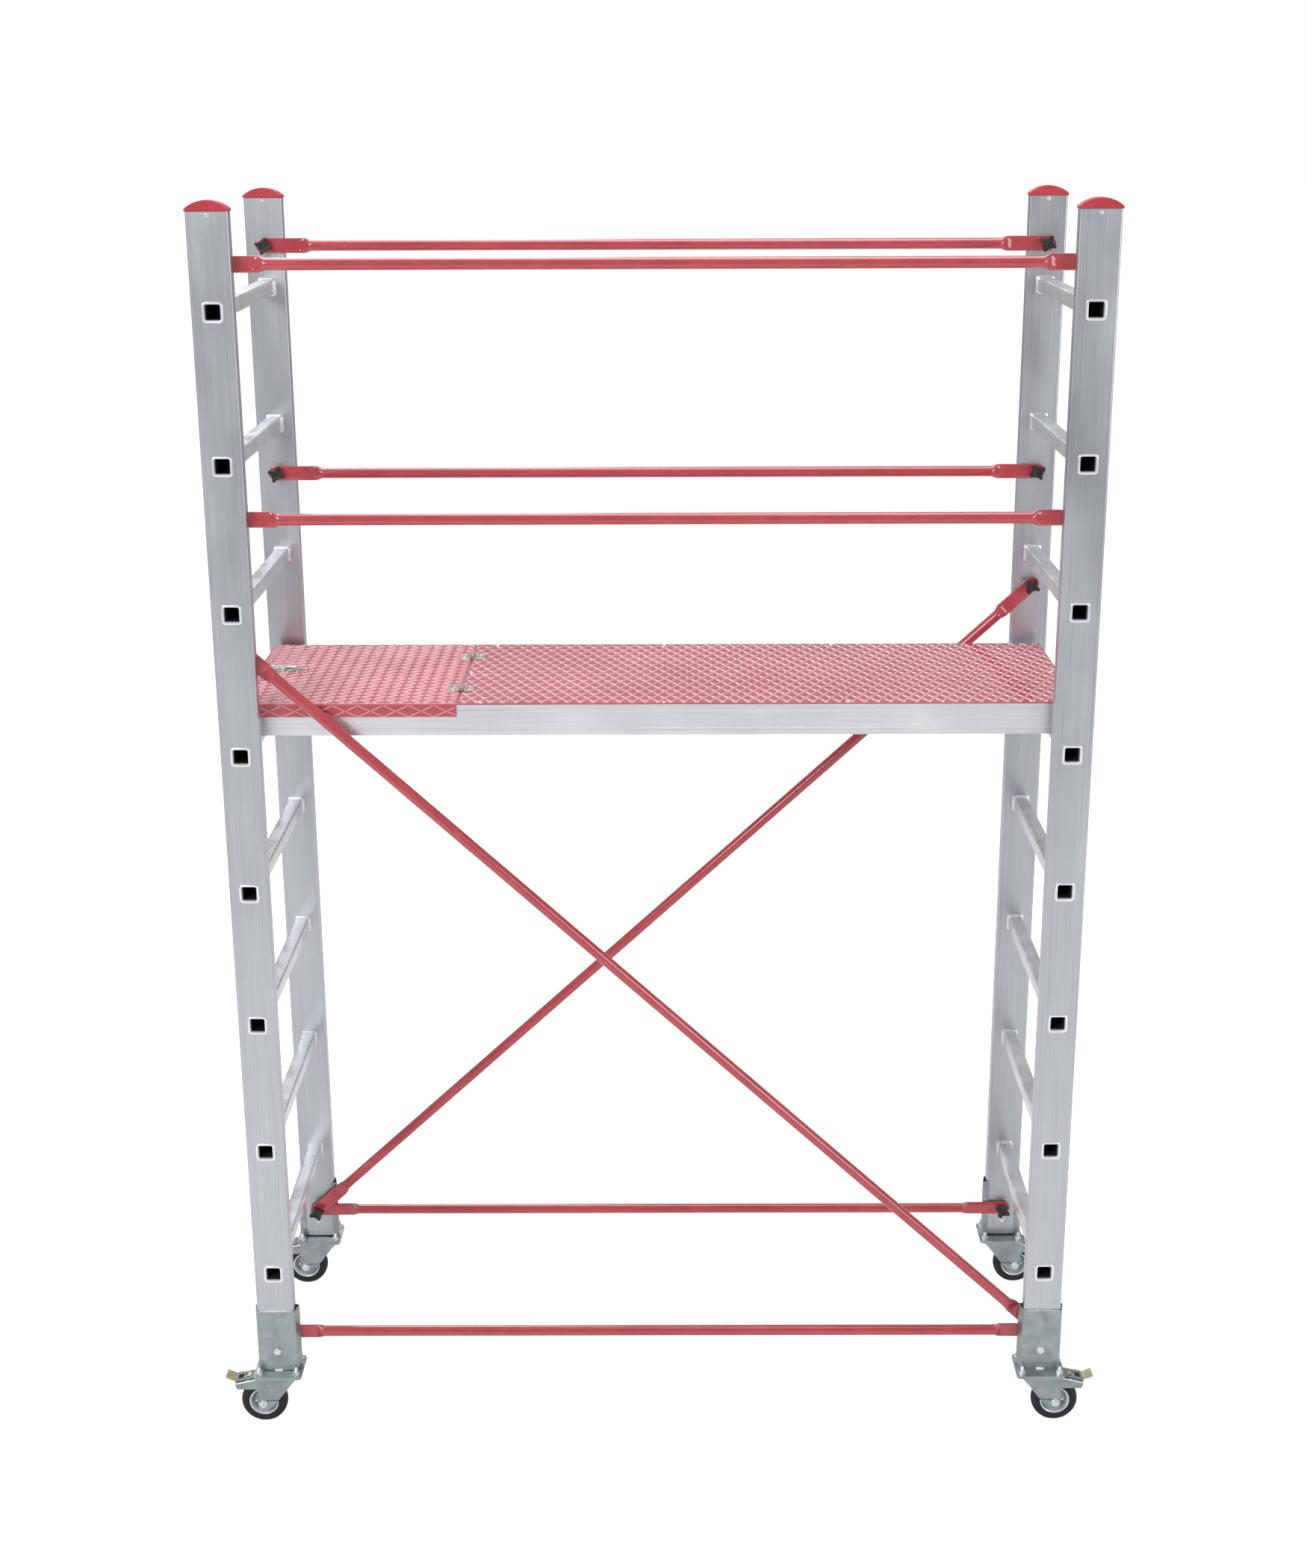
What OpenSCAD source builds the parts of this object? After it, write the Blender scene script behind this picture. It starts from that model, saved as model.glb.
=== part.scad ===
// Baker scaffold: two ladder ends joined by tubular braces, a deck with a
// trapdoor resting on one pair of rungs, and four braked swivel casters.
// Millimetres, +Z up, -Y is the front, origin on the floor under the middle.

/* [Frame] */
// Distance between the centre lines of the two ladder ends
ladder_pitch = 1595; // [1200:5:2400]
// Depth over the outer faces of the stiles
frame_depth = 577; // [470:1:900]

/* [Stiles] */
// Width of a stile's face
stile_w = 77; // [60:1:100]
// Thickness of a stile from its inner to its outer face
stile_d = 25; // [20:1:40]
// Wall of the stile section
stile_wall = 1.8; // [1.5:0.1:3]
// Corner radius of the stile section
stile_corner = 3; // [2:0.5:4]
// Width of the plain strip along each edge of a stile's face
edge_strip = 5.5; // [4:0.5:8]
// Width of the shallow flute beside each edge strip
flute_w = 11; // [6:1:12]
// Depth of the flutes
flute_depth = 0.5; // [0.2:0.1:0.8]
// Stile above the centre of the top rung
stile_above_rung = 177; // [150:1:400]

/* [Rungs] */
// Rungs in each ladder end
rung_count = 8; // [7:1:12]
// Height of the lowest rung's centre
rung_first = 351; // [345:1:450]
// Distance from rung to rung
rung_pitch = 280; // [230:1:340]
// Side of the square rung tube
rung_w = 30; // [24:1:40]
// Wall of the rung tube
rung_wall = 1.4; // [1:0.1:2.5]
// How far the swaged collar reaches beyond the rung on each side
collar_reach = 4; // [2:0.5:6]
// Thickness of the collar outside the stile
collar_t = 1.5; // [1:0.1:3]
// Thickness of the bead inside the stile
bead_t = 3; // [1:0.5:5]

/* [Stile caps] */
// Height of the arched cap at its crown
cap_h = 20; // [12:1:30]
// Height of the cap's straight edge
cap_edge = 4; // [2:0.5:6]
// Cap beyond the stile along the stile's width
cap_overhang = 1.5; // [1:0.5:6]
// Cap beyond the stile's inner and outer faces
cap_lip = 1.5; // [0.5:0.5:3]
// Depth of the plug inside the stile
plug_depth = 28; // [20:1:50]
// Shank diameter of the rivet through the cap's plug
cap_rivet_d = 5; // [3:0.5:6]
// Rivet centre below the top of the stile
cap_rivet_drop = 6; // [6:0.5:15]

/* [Braces] */
// Outer diameter of the brace tubes
tube_d = 22; // [18:1:28]
// Wall of the brace tubes
tube_wall = 1.5; // [1:0.1:2.5]
// Height of a flattened end
flat_h = 30; // [26:1:38]
// Thickness of a flattened end
flat_t = 5; // [4:0.5:7]
// Flattened end beyond the knob's axis
flat_over = 18; // [17:1:25]
// Flattened length from the knob's axis to the neck
flat_len = 78; // [60:1:120]
// Length of the neck between the flat and the round tube
neck_len = 18; // [10:1:40]
// Slot left inside a flattened end
flat_slot = 1.2; // [0.8:0.1:2]
// Top guard rail above the top rung
top_rail_rise = 83; // [60:1:120]
// Rung, counted from the bottom, that the mid rail is placed from
guard_rung = 6; // [6:1:7]
// Mid guard rail above that rung
mid_rail_rise = 176; // [60:1:180]
// Upper end of the diagonals below that rung
diagonal_drop = 68; // [50:1:100]
// Bottom braces below the lowest rung
bottom_brace_drop = 152; // [145:1:155]

/* [Knobs] */
// Star knob across its points
knob_d = 35; // [30:1:40]
// Thickness of the star
knob_t = 13; // [8:1:20]
// Diameter of the knob's boss
boss_d = 16; // [14:1:20]
// Length of the boss under the star
boss_len = 7; // [4:1:12]
// Diameter of the knob's threaded stud
stud_d = 8; // [6:1:10]
// Stud length inside the stile
stud_reach = 10; // [6:1:14]

/* [Platform] */
// Rung, counted from the bottom, that carries the platform
deck_rung = 5; // [4:1:5]
// Width of the deck over its side rails
deck_w = 468; // [360:1:470]
// Height of the side rails
rail_h = 61; // [55:1:80]
// Height of the side rails above the top of the rung
rail_lift = 12; // [4:1:16]
// Width of the side rails
rail_w = 26; // [20:1:35]
// Wall of the side rails and cross members
rail_wall = 2; // [1.5:0.1:3]
// Thickness of the deck sheets
deck_t = 2.5; // [2:0.5:4]
// Length of the trapdoor
trapdoor_len = 431; // [380:1:520]
// Depth of the trapdoor's folded edges
flange_h = 26; // [20:1:40]
// Thickness of the trapdoor's folded edges
flange_t = 2; // [1.5:0.5:3]
// Thickness of the hook plate over the outside of the rung
hook_t = 3; // [2:0.5:5]
// Hook plate below the top of the rung
hook_drop = 18; // [10:1:25]
// Width of a cross member
cross_w = 40; // [30:1:60]
// Height of a cross member
cross_h = 30; // [20:1:35]
// Diameter of a deck rivet's head
rivet_d = 9; // [7:0.5:12]
// Height of a deck rivet's head
rivet_h = 1.5; // [1:0.1:2.5]

/* [Trapdoor hinges] */
// Distance of each hinge from the middle of the deck
hinge_y = 127; // [80:1:150]
// Length of a hinge along its pin
hinge_len = 42; // [30:1:60]
// Width of each leaf
leaf_w = 25; // [18:1:35]
// Thickness of the leaves
leaf_t = 2; // [1.5:0.1:2.5]
// Outer diameter of the knuckles
knuckle_d = 9; // [8:0.5:10]
// Diameter of the hinge pins
hinge_pin_d = 4; // [3:0.5:5]

/* [Trapdoor latch] */
// Distance of the latch from the middle of the deck
latch_y = 15; // [0:1:60]
// Keeper's near face from the end of the platform
keeper_inset = 26; // [24:1:40]
// Width of the keeper
keeper_w = 22; // [20:1:28]
// Width of the keeper's oval hole
keeper_hole_w = 14; // [12:1:16]
// Height of the keeper's oval hole
keeper_hole_h = 10; // [9.5:0.5:10.5]
// Thickness of the keeper
keeper_t = 3; // [2:0.5:4]
// Length of the latch body
latch_len = 58; // [50:1:70]
// Width of the latch body
latch_w = 32; // [28:1:40]
// Diameter of the latch bolt
bolt_d = 8; // [6:0.5:9]
// Travel of the latch bolt
bolt_throw = 12; // [8:1:14]
// Length of the wire bail
bail_len = 28; // [20:1:32]
// Diameter of the bail wire
wire_d = 3; // [2.5:0.5:4]

/* [Leg brackets] */
// Height of the sleeve around the foot of a stile
bracket_h = 140; // [115:1:145]
// Sheet thickness of the sleeve
bracket_t = 2; // [1.5:0.5:3]
// Gap between the stile and the sleeve
bracket_gap = 0.5; // [0.3:0.1:1]
// How far each side of the sleeve leans out at its inner end
bracket_splay = 5; // [0:1:7]
// Width of the lips folded over the stile's inner face
bracket_lip = 15; // [8:1:18]
// Leg bolt above the sleeve's foot
leg_bolt_rise = 46; // [30:1:48]
// Gap between the stile's end and the sleeve's foot plate
stile_end_gap = 3; // [1:0.5:6]

/* [Casters] */
// Wheel diameter
wheel_d = 97; // [80:1:120]
// Width of the tyre
tyre_w = 26; // [22:1:34]
// Outer diameter of the rim
rim_d = 62; // [50:1:68]
// Top of the caster plate above the wheel
caster_rise = 25; // [24:1:45]
// Distance from the swivel axis to the wheel's axle
caster_offset = 36; // [30:1:40]
// Length of the caster plate
plate_l = 100; // [96:1:115]
// Width of the caster plate
plate_w = 85; // [82:1:100]
// Thickness of the caster plate and of the sleeve's foot plate
plate_t = 3; // [2.5:0.5:4]
// Bolt spacing along the plate
bolt_pitch_x = 78; // [76:1:84]
// Bolt spacing across the plate
bolt_pitch_y = 60; // [58:1:64]
// Diameter of the plate bolts and of the leg bolt
bolt_shank_d = 8; // [6:1:8]
// Diameter of the swivel's raceway cup
cup_d = 58; // [50:1:64]
// Diameter of the kingpin
kingpin_d = 12; // [10:1:16]
// Sheet thickness of the fork
fork_t = 2.5; // [2:0.5:4]
// Distance between the fork's cheeks
fork_gap = 38; // [34:1:52]
// Diameter of the wheel axle
axle_d = 10; // [8:1:12]
// Diameter of the brake pedal's pivot pin
pedal_pin_d = 5; // [4:0.5:6]

/* [Hidden] */
$fn = 48;

// Radial clearance of a pin that turns in its bore
running = 0.05;
// Radial clearance of a bolt in its hole
bolt_clear = 0.3;
// Clearance between bodies that move past each other
gap = 0.3;
// Clearance of a rung in its socket in the stile
rung_fit = 0.1;
// Overlap that makes a cut pass right through
over = 1;

// Legs as [side, row]: side -1 is left, row -1 is front
front_left = [-1, -1];
front_right = [1, -1];
rear_left = [-1, 1];
rear_right = [1, 1];
legs = [front_left, front_right, rear_left, rear_right];

stile_x = ladder_pitch / 2;
stile_y = (frame_depth - stile_d) / 2;
inner_face = frame_depth / 2 - stile_d;

// Heights of the caster, from the floor up
axle_z = wheel_d / 2;
plate_top = wheel_d + caster_rise;
plate_bottom = plate_top - plate_t;
cup_h = 6;
crown_top = plate_bottom - cup_h - gap;
foot_top = plate_top + plate_t;
bracket_top = foot_top + bracket_h;
leg_bolt_z = foot_top + leg_bolt_rise;
stile_bottom = foot_top + stile_end_gap;

// Heights of the ladder ends and of what is placed from their rungs
function rung_z(k) = rung_first + (k - 1) * rung_pitch;
stile_top = rung_z(rung_count) + stile_above_rung;
top_rail_z = rung_z(rung_count) + top_rail_rise;
mid_rail_z = rung_z(guard_rung) + mid_rail_rise;
diagonal_z = rung_z(guard_rung) - diagonal_drop;
bottom_brace_z = rung_first - bottom_brace_drop;
diagonal_fall = diagonal_z - bottom_brace_z;
diagonal_len = sqrt(ladder_pitch * ladder_pitch + diagonal_fall * diagonal_fall);
diagonal_angle = atan2(diagonal_fall, ladder_pitch);

// Side of the rung and of its collar
collar_w = rung_w + 2 * collar_reach;
rung_corner = 4;
collar_corner = 7;

// Layers on a stile's inner face, measured towards the scaffold's middle:
// first the sleeve's lips, then the bottom brace, then the diagonal
lip_stack = bracket_gap + bracket_t;
lip_face = lip_stack + gap;
bottom_brace_seat = lip_face;
diagonal_low_seat = bottom_brace_seat + flat_t;
diagonal_y = inner_face - (diagonal_low_seat + flat_t) / 2;

// What each knob clamps: one flat, or the layers at the foot
rail_knob_seat = flat_t + gap;
bottom_knob_seat = bottom_brace_seat + flat_t + gap;
shared_knob_seat = diagonal_low_seat + flat_t + gap;

// Platform, from the rung up
rung_top = rung_z(deck_rung) + rung_w / 2;
rail_bottom = rung_top + rail_lift;
rail_top = rail_bottom + rail_h;
deck_top = rail_top + deck_t;
door_bottom = rail_top + gap;
door_top = door_bottom + deck_t;
hook_gap = 0.5;
rail_end = stile_x + rung_w / 2 + hook_gap;
platform_end = rail_end + hook_t;
hinge_x = -platform_end + trapdoor_len;
seam = 1.5;
hinge_z = door_top + knuckle_d / 2 + gap;
flange_y = deck_w / 2 + gap + 0.3;
end_member_w = rung_w;
end_member_h = rail_top - rung_top - gap;
stiffener_h = 18;
stiffener_w = 24;
knuckle_len = (hinge_len - 2 * gap) / 3;

// Deck rivets
rivet_shank_d = 4.8;
rivet_columns = 3;
rivet_inset = 9;

// Latch, placed from the end of the platform
keeper_x = -platform_end + keeper_inset;
latch_plate_t = 1.5;
bolt_axis_z = door_top + latch_plate_t + 5.5;
bolt_tip_gap = 2;
bolt_tip_x = keeper_x + bolt_tip_gap;
latch_x = bolt_tip_x + 1;
guide_w = 16;
guide_l = 9;
guide_back = 21;
bail_x = latch_x + latch_len - 10;
bail_w = 28;
keeper_top = bolt_axis_z + keeper_hole_h / 2 + 4;

// Sleeve section around the stile
sleeve_w = stile_w + 2 * (bracket_gap + bracket_t);
sleeve_d = stile_d + 2 * (bracket_gap + bracket_t);
sleeve_corner = stile_corner + bracket_t;
sleeve_core_w = sleeve_w / 2 - sleeve_corner;
sleeve_core_d = sleeve_d / 2 - sleeve_corner;
arc_steps = 5;
plate_corner = 8;
foot_hole_d = 24;

// Fork and pedal, in the plane through the swivel axis and the wheel. The lug
// hangs around the axle, the arm reaches out over the tyre beside the pedal.
cheek_y = fork_gap / 2;
hub_half = cheek_y - 3;
hub_r = 10;
crown_back = 36;
crown_front = 25;
crown_skirt = 6;
lug_r = 11;
lug_drop = 16;
lug_back = 10;
arm_end = caster_offset + 58;
arm_bottom = axle_z + 34;
arm_h = 14;
arm_drop = 5;
pedal_x = caster_offset + 20;
pedal_z = plate_bottom - 20;
pedal_t = 2.5;
pedal_half = cheek_y - 3;
pedal_back = 12;
pedal_rise = 8.5;
pedal_len = 58;
tread_len = 20;
tread_rise = 9;
ear_r = 5;
window_len = 24;
window_w = 16;

// ---------- shared shapes ----------

module rounded(w, h, r) {
  square([w - 2 * r, h], center = true);
  square([w, h - 2 * r], center = true);
  for (sx = [-1, 1], sy = [-1, 1])
    translate([sx * (w / 2 - r), sy * (h / 2 - r)]) circle(r = r);
}

// Cylinder along Y, from y to y + len
module rod_y(d, y, len, facets = 48) {
  translate([0, y + len, 0]) rotate([90, 0, 0]) cylinder(d = d, h = len, $fn = facets);
}

// Flat shape drawn in the XZ plane, thickened from y to y + len
module slab_y(y, len) {
  translate([0, y + len, 0]) rotate([90, 0, 0]) linear_extrude(len) children();
}

// Local +Y points away from the scaffold's middle
module on_leg(leg) {
  translate([leg.x * stile_x, leg.y * stile_y, 0])
    rotate([0, 0, leg.y < 0 ? 180 : 0]) children();
}

// Local +X points along the scaffold, away from its middle
module on_caster(leg) {
  translate([leg.x * stile_x, leg.y * stile_y, 0])
    rotate([0, 0, leg.x < 0 ? 180 : 0]) children();
}

module at_plate_bolts() {
  for (sx = [-1, 1], sy = [-1, 1])
    translate([sx * bolt_pitch_x / 2, sy * bolt_pitch_y / 2, 0]) children();
}

module hex_z(across_flats, h) {
  rotate([0, 0, 30]) cylinder(d = across_flats / cos(30), h = h, $fn = 6);
}

// ---------- ladder ends ----------

// The front diagonal starts high on the left, the rear one high on the right
function has_diagonal(leg) = leg.x == leg.y;
function knob_heights(leg) = concat(
  [top_rail_z, mid_rail_z, bottom_brace_z],
  has_diagonal(leg) ? [diagonal_z] : []
);

function bottom_seat(leg) = has_diagonal(leg) ? bottom_knob_seat : shared_knob_seat;

module stile_section() {
  difference() {
    rounded(stile_w, stile_d, stile_corner);
    rounded(stile_w - 2 * stile_wall, stile_d - 2 * stile_wall, stile_corner / 2);
    for (sx = [-1, 1], sy = [-1, 1])
      translate([sx * (stile_w / 2 - edge_strip - flute_w / 2), sy * stile_d / 2])
        square([flute_w, 2 * flute_depth], center = true);
  }
}

module stile(leg) {
  socket = rung_w + 2 * rung_fit;
  color("gainsboro") on_leg(leg) difference() {
    translate([0, 0, stile_bottom])
      linear_extrude(stile_top - stile_bottom) stile_section();
    for (k = [1 : rung_count])
      translate([0, 0, rung_z(k)]) slab_y(-stile_d / 2 - over, stile_d + 2 * over)
        rounded(socket, socket, rung_corner);
    translate([0, 0, leg_bolt_z])
      rod_y(bolt_shank_d + 2 * bolt_clear, -stile_d / 2 - over, stile_d + 2 * over);
    translate([0, 0, stile_top - cap_rivet_drop])
      rod_y(cap_rivet_d + 2 * running, -stile_d / 2 - over, stile_d + 2 * over);
    for (z = knob_heights(leg))
      translate([0, 0, z])
        rod_y(stud_d + 2 * running, -stile_d / 2 - over, stile_wall + 2 * over);
  }
}

module rung() {
  bore = rung_w - 2 * rung_wall;
  reach = frame_depth / 2 + collar_t;
  difference() {
    union() {
      slab_y(-reach, 2 * reach) rounded(rung_w, rung_w, rung_corner);
      for (s = [-1, 1]) {
        slab_y(s < 0 ? -reach : frame_depth / 2, collar_t)
          rounded(collar_w, collar_w, collar_corner);
        slab_y(s < 0 ? -inner_face : inner_face - bead_t, bead_t)
          rounded(collar_w, collar_w, collar_corner);
      }
    }
    slab_y(-reach - over, 2 * (reach + over)) rounded(bore, bore, rung_corner - rung_wall);
  }
}

module rungs(side) {
  color("silver") for (k = [1 : rung_count])
    translate([side * stile_x, 0, rung_z(k)]) rung();
}

module cap() {
  half = stile_w / 2 + cap_overhang;
  rise = cap_h - cap_edge;
  arch_r = (half * half + rise * rise) / (2 * rise);
  plug_w = stile_w - 2 * stile_wall - 2 * gap;
  plug_d = stile_d - 2 * stile_wall - 2 * gap;
  difference() {
    union() {
      translate([0, 0, stile_top]) slab_y(-stile_d / 2 - cap_lip, stile_d + 2 * cap_lip)
        intersection() {
          translate([0, cap_h - arch_r]) circle(r = arch_r, $fn = 96);
          translate([-half, 0]) square([2 * half, cap_h]);
        }
      translate([0, 0, stile_top - plug_depth])
        linear_extrude(plug_depth + over) rounded(plug_w, plug_d, stile_corner / 2);
    }
    translate([0, 0, stile_top - cap_rivet_drop])
      rod_y(cap_rivet_d + 2 * running, -stile_d, 2 * stile_d);
  }
}

module stile_caps() {
  color("firebrick") for (leg = legs) on_leg(leg) cap();
}

module cap_rivets() {
  head_d = cap_rivet_d + 3;
  head_t = 1.2;
  face = stile_d / 2;
  color("lightgray") for (leg = legs) on_leg(leg)
    translate([0, 0, stile_top - cap_rivet_drop]) {
      rod_y(cap_rivet_d, -face, 2 * face);
      rod_y(head_d, face, head_t);
      rod_y(head_d, -face - head_t, head_t);
    }
}

// ---------- braces ----------

// Flattened end of a tube: knob axis at the origin, tube towards +X, its axis
// at y = 0 and the flat's middle at y = shift
module brace_end(shift) {
  neck_end = flat_len + neck_len;
  translate([0, shift, 0]) slab_y(-flat_t / 2, flat_t) {
    translate([flat_h / 2 - flat_over, 0]) circle(d = flat_h);
    translate([flat_h / 2 - flat_over, -flat_h / 2])
      square([flat_len + flat_over - flat_h / 2, flat_h]);
  }
  intersection() {
    translate([flat_len, 0, 0]) rotate([0, 90, 0])
      cylinder(h = neck_len, d1 = flat_h, d2 = tube_d);
    translate([0, 0, -flat_h]) linear_extrude(2 * flat_h) polygon([
      [flat_len, shift - flat_t / 2], [neck_end, -tube_d / 2],
      [neck_end, tube_d / 2], [flat_len, shift + flat_t / 2]
    ]);
  }
}

module brace_end_cut(shift) {
  bore = tube_d - 2 * tube_wall;
  translate([-flat_over - over, shift - flat_slot / 2, -bore / 2])
    cube([flat_over + flat_len + neck_len + 2 * over, flat_slot, bore]);
  rod_y(stud_d + 2 * running, shift - flat_t, 2 * flat_t);
}

// Brace lying along X between two knob axes, len apart
module brace(len, shift_start, shift_end) {
  neck_end = flat_len + neck_len;
  difference() {
    union() {
      brace_end(shift_start);
      translate([len, 0, 0]) rotate([0, 0, 180]) brace_end(-shift_end);
      translate([neck_end, 0, 0]) rotate([0, 90, 0])
        cylinder(d = tube_d, h = len - 2 * neck_end);
    }
    translate([neck_end, 0, 0]) rotate([0, 90, 0])
      cylinder(d = tube_d - 2 * tube_wall, h = len - 2 * neck_end);
    brace_end_cut(shift_start);
    translate([len, 0, 0]) rotate([0, 0, 180]) brace_end_cut(-shift_end);
  }
}

// Level brace on a row's inner faces, its flats at the given seat
module level_brace(row, z, seat) {
  translate([-stile_x, row * (inner_face - seat - flat_t / 2), z])
    brace(ladder_pitch, 0, 0);
}

module guard_rails() {
  color("indianred") for (row = [-1, 1], z = [top_rail_z, mid_rail_z])
    level_brace(row, z, 0);
}

module bottom_braces() {
  color("indianred") for (row = [-1, 1])
    level_brace(row, bottom_brace_z, bottom_brace_seat);
}

// Diagonal from high on one ladder end to the bottom of the other
module diagonal_brace(row) {
  high = inner_face - flat_t / 2 - diagonal_y;
  low = inner_face - diagonal_low_seat - flat_t / 2 - diagonal_y;
  color("indianred") rotate([0, 0, row < 0 ? 0 : 180])
    translate([-stile_x, -diagonal_y, diagonal_z]) rotate([0, diagonal_angle, 0])
      brace(diagonal_len, -high, -low);
}

// ---------- star knobs ----------

module star() {
  hollow_at = knob_d * 0.72;
  hollow_r = knob_d * 0.42;
  difference() {
    circle(d = knob_d);
    for (a = [45 : 90 : 315]) rotate(a) translate([hollow_at, 0]) circle(r = hollow_r);
  }
}

// Knob on a stile's inner face; seat is the thickness clamped under it
module knob(leg, z, seat, turn) {
  base = -stile_d / 2 - seat;
  color("dimgray") on_leg(leg) translate([0, 0, z]) rotate([0, turn, 0]) {
    rod_y(stud_d, base, seat + stud_reach);
    rod_y(boss_d, base - boss_len, boss_len);
    slab_y(base - boss_len - knob_t, knob_t) star();
  }
}

// ---------- leg brackets and caster plates ----------

function arc(centre, r, from, to) = [
  for (i = [0 : arc_steps])
    centre + r * [cos(from + (to - from) * i / arc_steps), sin(from + (to - from) * i / arc_steps)]
];

// Outline at the distance r around the sleeve's core, wider at its inner end
module splayed(r) {
  lean = atan2(bracket_splay, 2 * sleeve_core_d);
  foot_x = sleeve_core_w + bracket_splay;
  polygon(concat(
    arc([foot_x, -sleeve_core_d], r, -90, lean),
    arc([sleeve_core_w, sleeve_core_d], r, lean, 90),
    arc([-sleeve_core_w, sleeve_core_d], r, 90, 180 - lean),
    arc([-foot_x, -sleeve_core_d], r, 180 - lean, 270)
  ));
}

module leg_bracket() {
  opening = sleeve_w + 2 * bracket_splay - 2 * bracket_lip;
  translate([0, 0, foot_top]) difference() {
    linear_extrude(bracket_h) difference() {
      splayed(sleeve_corner);
      splayed(stile_corner);
      translate([-opening / 2, -sleeve_d]) square([opening, sleeve_d]);
    }
    translate([0, 0, leg_bolt_rise])
      rod_y(bolt_shank_d + 2 * bolt_clear, 0, sleeve_d);
  }
  translate([0, 0, plate_top]) linear_extrude(plate_t) difference() {
    rounded(plate_l, plate_w, plate_corner);
    circle(d = foot_hole_d);
    at_plate_bolts() circle(d = bolt_shank_d + 2 * bolt_clear);
  }
}

module leg_brackets() {
  color("slategray") for (leg = legs) on_leg(leg) leg_bracket();
}

module caster_plate() {
  difference() {
    union() {
      translate([0, 0, plate_bottom]) linear_extrude(plate_t) difference() {
        rounded(plate_l, plate_w, plate_corner);
        at_plate_bolts() circle(d = bolt_shank_d + 2 * bolt_clear);
      }
      translate([0, 0, plate_bottom - cup_h]) cylinder(d = cup_d, h = cup_h);
    }
    translate([0, 0, plate_bottom - cup_h - over])
      cylinder(d = kingpin_d + 2 * running, h = cup_h + plate_t + 2 * over);
  }
}

module caster_plates() {
  color("lightsteelblue") for (leg = legs) on_caster(leg) caster_plate();
}

// Bolt with a head under the plates and a nut on top
module plate_bolt() {
  head_af = 1.625 * bolt_shank_d;
  head_h = 4.5;
  nut_h = 0.8 * bolt_shank_d;
  tail = 10;
  grip = 2 * plate_t;
  translate([0, 0, plate_bottom - head_h]) hex_z(head_af, head_h);
  translate([0, 0, plate_bottom - head_h])
    cylinder(d = bolt_shank_d, h = head_h + grip + nut_h + tail);
  translate([0, 0, foot_top]) hex_z(head_af, nut_h);
}

// Bolt through the sleeve and the stile, head outside
module leg_bolt() {
  head_af = 1.625 * bolt_shank_d;
  head_h = 5.3;
  washer_t = 1.6;
  nut_h = 0.8 * bolt_shank_d;
  tail = 9;
  outer = sleeve_d / 2;
  inner = -stile_d / 2;
  nut_y = inner - washer_t - nut_h;
  translate([0, 0, leg_bolt_z]) {
    rod_y(head_af / cos(30), outer, head_h, 6);
    rod_y(bolt_shank_d, nut_y - tail, outer - nut_y + tail + head_h / 2);
    rod_y(2 * bolt_shank_d, inner - washer_t, washer_t);
    rod_y(head_af / cos(30), nut_y, nut_h, 6);
  }
}

module bracket_bolts() {
  color("lightgray") for (leg = legs) on_leg(leg) {
    at_plate_bolts() plate_bolt();
    leg_bolt();
  }
}

// ---------- platform ----------

module rail_section() {
  groove = 1.2;
  band = 10;
  difference() {
    square([rail_w, rail_h], center = true);
    square([rail_w - 2 * rail_wall, rail_h - 2 * rail_wall], center = true);
    for (s = [-1, 1])
      translate([-rail_w / 2, s * (rail_h / 2 - band)]) square(groove, center = true);
  }
}

module platform_side_rails() {
  color("gainsboro") for (row = [-1, 1])
    rotate([0, 0, row < 0 ? 0 : 180])
      translate([-rail_end, (rail_w - deck_w) / 2, rail_bottom + rail_h / 2])
        rotate([90, 0, 90]) linear_extrude(2 * rail_end) rail_section();
}

// Square tube across the platform, its top under the deck sheets
module cross_tube(x, w, h) {
  span = deck_w - 2 * rail_w;
  translate([x, 0, rail_top - h / 2]) slab_y(-span / 2, span) difference() {
    square([w, h], center = true);
    square([w - 2 * rail_wall, h - 2 * rail_wall], center = true);
  }
}

module platform_cross_members() {
  field = platform_end - hinge_x;
  color("silver") {
    for (side = [-1, 1]) {
      cross_tube(side * (rail_end - end_member_w / 2), end_member_w, end_member_h);
      translate([side * (rail_end + hook_t / 2) - hook_t / 2, -deck_w / 2, rung_top - hook_drop])
        cube([hook_t, deck_w, rail_top - rung_top + hook_drop]);
    }
    cross_tube(hinge_x + cross_w / 4, cross_w, cross_h);
    for (share = [1 / 3, 2 / 3])
      cross_tube(hinge_x + share * field, cross_w, cross_h);
  }
}

module fixed_deck() {
  color("indianred") translate([hinge_x + seam / 2, -deck_w / 2, rail_top])
    difference() {
      cube([platform_end - hinge_x - seam / 2, deck_w, deck_t]);
      translate([-hinge_x - seam / 2, deck_w / 2, 0]) at_deck_rivets()
        translate([0, 0, -over]) cylinder(d = rivet_shank_d, h = deck_t + 2 * over);
    }
}

// Rivets along both long edges of the fixed deck and across its two ends
module at_deck_rivets() {
  first = hinge_x + 45;
  last = platform_end - 90;
  for (row = [-1, 1], i = [0 : rivet_columns])
    translate([first + i * (last - first) / rivet_columns,
               row * (deck_w / 2 - rivet_inset), 0]) children();
  translate([hinge_x + rivet_inset, 0, 0]) children();
  translate([platform_end - hook_t - rivet_inset, 0, 0]) children();
}

module deck_rivets() {
  dome_r = (rivet_d * rivet_d / 4 + rivet_h * rivet_h) / (2 * rivet_h);
  color("lightgray") at_deck_rivets() {
    translate([0, 0, rail_top]) cylinder(d = rivet_shank_d, h = deck_t);
    translate([0, 0, deck_top]) intersection() {
      translate([0, 0, rivet_h - dome_r]) sphere(r = dome_r);
      cylinder(d = rivet_d, h = rivet_h);
    }
  }
}

// ---------- trapdoor, hinges and latch ----------

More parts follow.
